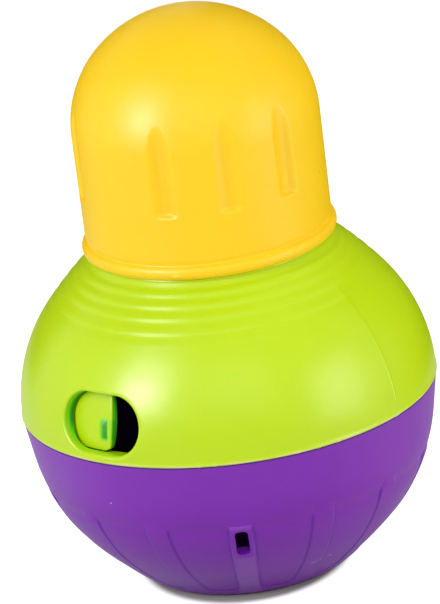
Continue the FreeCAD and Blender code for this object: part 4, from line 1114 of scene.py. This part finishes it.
# The board glows outside an oval as wide and as deep as shade says. The oval is a painted shadow's outline:
# inside it the board shows the shade that the lamps leave, outside it the glow covers that shade with white.
floorLook = {"size": 1.6, "colour": "#B8BBB0", "glow": 0.9, "reflected": 0.25, "shade": (0.0455, 0.0534),
             "aside": 0.03, "fade": (0.97, 1.09)}


def makeLamps():
    for name, lamp in lamps.items():
        turn, rise = math.radians(lamp["azimuth"]), math.radians(lamp["elevation"])
        toward = Vector((math.sin(turn) * math.cos(rise), -math.cos(turn) * math.cos(rise), math.sin(rise)))
        data = bpy.data.lights.new(name, "AREA")
        data.shape = "RECTANGLE"
        data.size, data.size_y = lamp["size"]
        data.energy = lamp["power"]
        data.color = linear(lamp.get("colour", "#FFFFFF"))[:3]
        made = bpy.data.objects.new(name, data)
        made.location = Vector(lampAim) + toward * lamp["distance"]
        made.rotation_euler = toward.to_track_quat("Z", "Y").to_euler()
        made.visible_glossy = lamp["shows"] != "colour"
        made.visible_diffuse = lamp["shows"] != "gloss"
        scene.collection.objects.link(made)


# How much of the background's white a ray meets: all for the camera's and through clear pieces, and a share
# for those of reflections.
def seenRays(tree, reflected):
    path = addNode(tree, "LightPath").node.outputs
    seen = addNode(tree, "Math", {1: reflected}, {0: path["Is Glossy Ray"], 2: path["Is Camera Ray"]},
                   operation="MULTIPLY_ADD")
    return addNode(tree, "Math", {}, {0: seen, 1: path["Is Transmission Ray"]}, operation="MAXIMUM")


# White studio air: full white to the camera, and softer in reflections and for the light that it gives.
def makeWorld():
    world = bpy.data.worlds.new("studio")
    scene.world = world
    world.use_nodes = True
    world.cycles.sampling_method = "NONE"     # so that every reflection meets the air it is aimed at
    tree = world.node_tree
    tree.nodes.clear()
    strength = addNode(tree, "MapRange", {"To Min": surroundings["diffuse"], "To Max": surroundings["seen"]},
                       {"Value": seenRays(tree, surroundings["reflected"])})
    glow = addNode(tree, "Background", {"Color": linear("#FFFFFF")}, {"Strength": strength})
    addNode(tree, "OutputWorld", {}, {"Surface": glow})


# A piece of the stage, its mesh in metres. No lamp rays are aimed at its glow.
def stagePiece(name, points, faces, material):
    mesh = bpy.data.meshes.new(name)
    mesh.from_pydata(points, [], faces)
    mesh.materials.append(material)
    material.cycles.emission_sampling = "NONE"
    made = bpy.data.objects.new(name, mesh)
    scene.collection.objects.link(made)
    return made


# White board under the object. Away from the object's foot it glows white where it is seen, so that its
# shadow shows only inside a painted oval round the foot.
def makeFloor():
    material, tree = bareMaterial("white board")
    place = addNode(tree, "NewGeometry", out="Position")
    (wide, deep), (start, stop) = floorLook["shade"], floorLook["fade"]
    spread = {"Location": (floorLook["aside"], 0.0, 0.0), "Scale": (1 / wide, 1 / deep, 1.0)}
    oval = addNode(tree, "Mapping", spread, {"Vector": place})
    away = addNode(tree, "VectorMath", {}, {0: oval}, out="Value", operation="LENGTH")
    fade = addNode(tree, "MapRange", {"From Min": start, "From Max": stop, "To Max": floorLook["glow"]},
                   {"Value": away}, interpolation_type="SMOOTHSTEP")
    rays = seenRays(tree, floorLook["reflected"])
    seen = addNode(tree, "Math", {}, {0: rays, 1: fade}, operation="MULTIPLY")
    glow = addNode(tree, "Emission", {}, {"Strength": seen})
    matt = addNode(tree, "BsdfDiffuse", {"Color": linear(floorLook["colour"])})
    both = addNode(tree, "AddShader", {}, {0: glow, 1: matt})
    addNode(tree, "OutputMaterial", {}, {"Surface": both})
    half = floorLook["size"] / 2
    corners = [(-half, -half, 0), (half, -half, 0), (half, half, 0), (-half, half, 0)]
    board = stagePiece("floor", corners, [(0, 1, 2, 3)], material)


def makeCards():
    for number, card in enumerate(cards):
        material, tree = bareMaterial("card %d" % number)
        glow = addNode(tree, "Emission", {"Color": linear(card["colour"])})
        addNode(tree, "OutputMaterial", {}, {"Surface": glow})
        points, faces, width = [], [], len(card["run"])
        for turn in np.radians(np.linspace(*card["turns"], 25)):
            toRight, toBack = math.sin(turn), -math.cos(turn)
            points += [(reach * toRight, reach * toBack, height) for reach, height in card["run"]]
        for corner in range(len(points) - width):
            if corner % width < width - 1:
                faces.append([corner, corner + width, corner + width + 1, corner + 1])
        made = stagePiece("card%d" % number, points, faces, material)
        made.visible_camera = made.visible_diffuse = made.visible_transmission = made.visible_shadow = False


makeCamera()
makeLamps()
makeCards()
makeWorld()
makeFloor()
scene.view_settings.view_transform = "Standard"
print("camera, lamps, surroundings and floor")
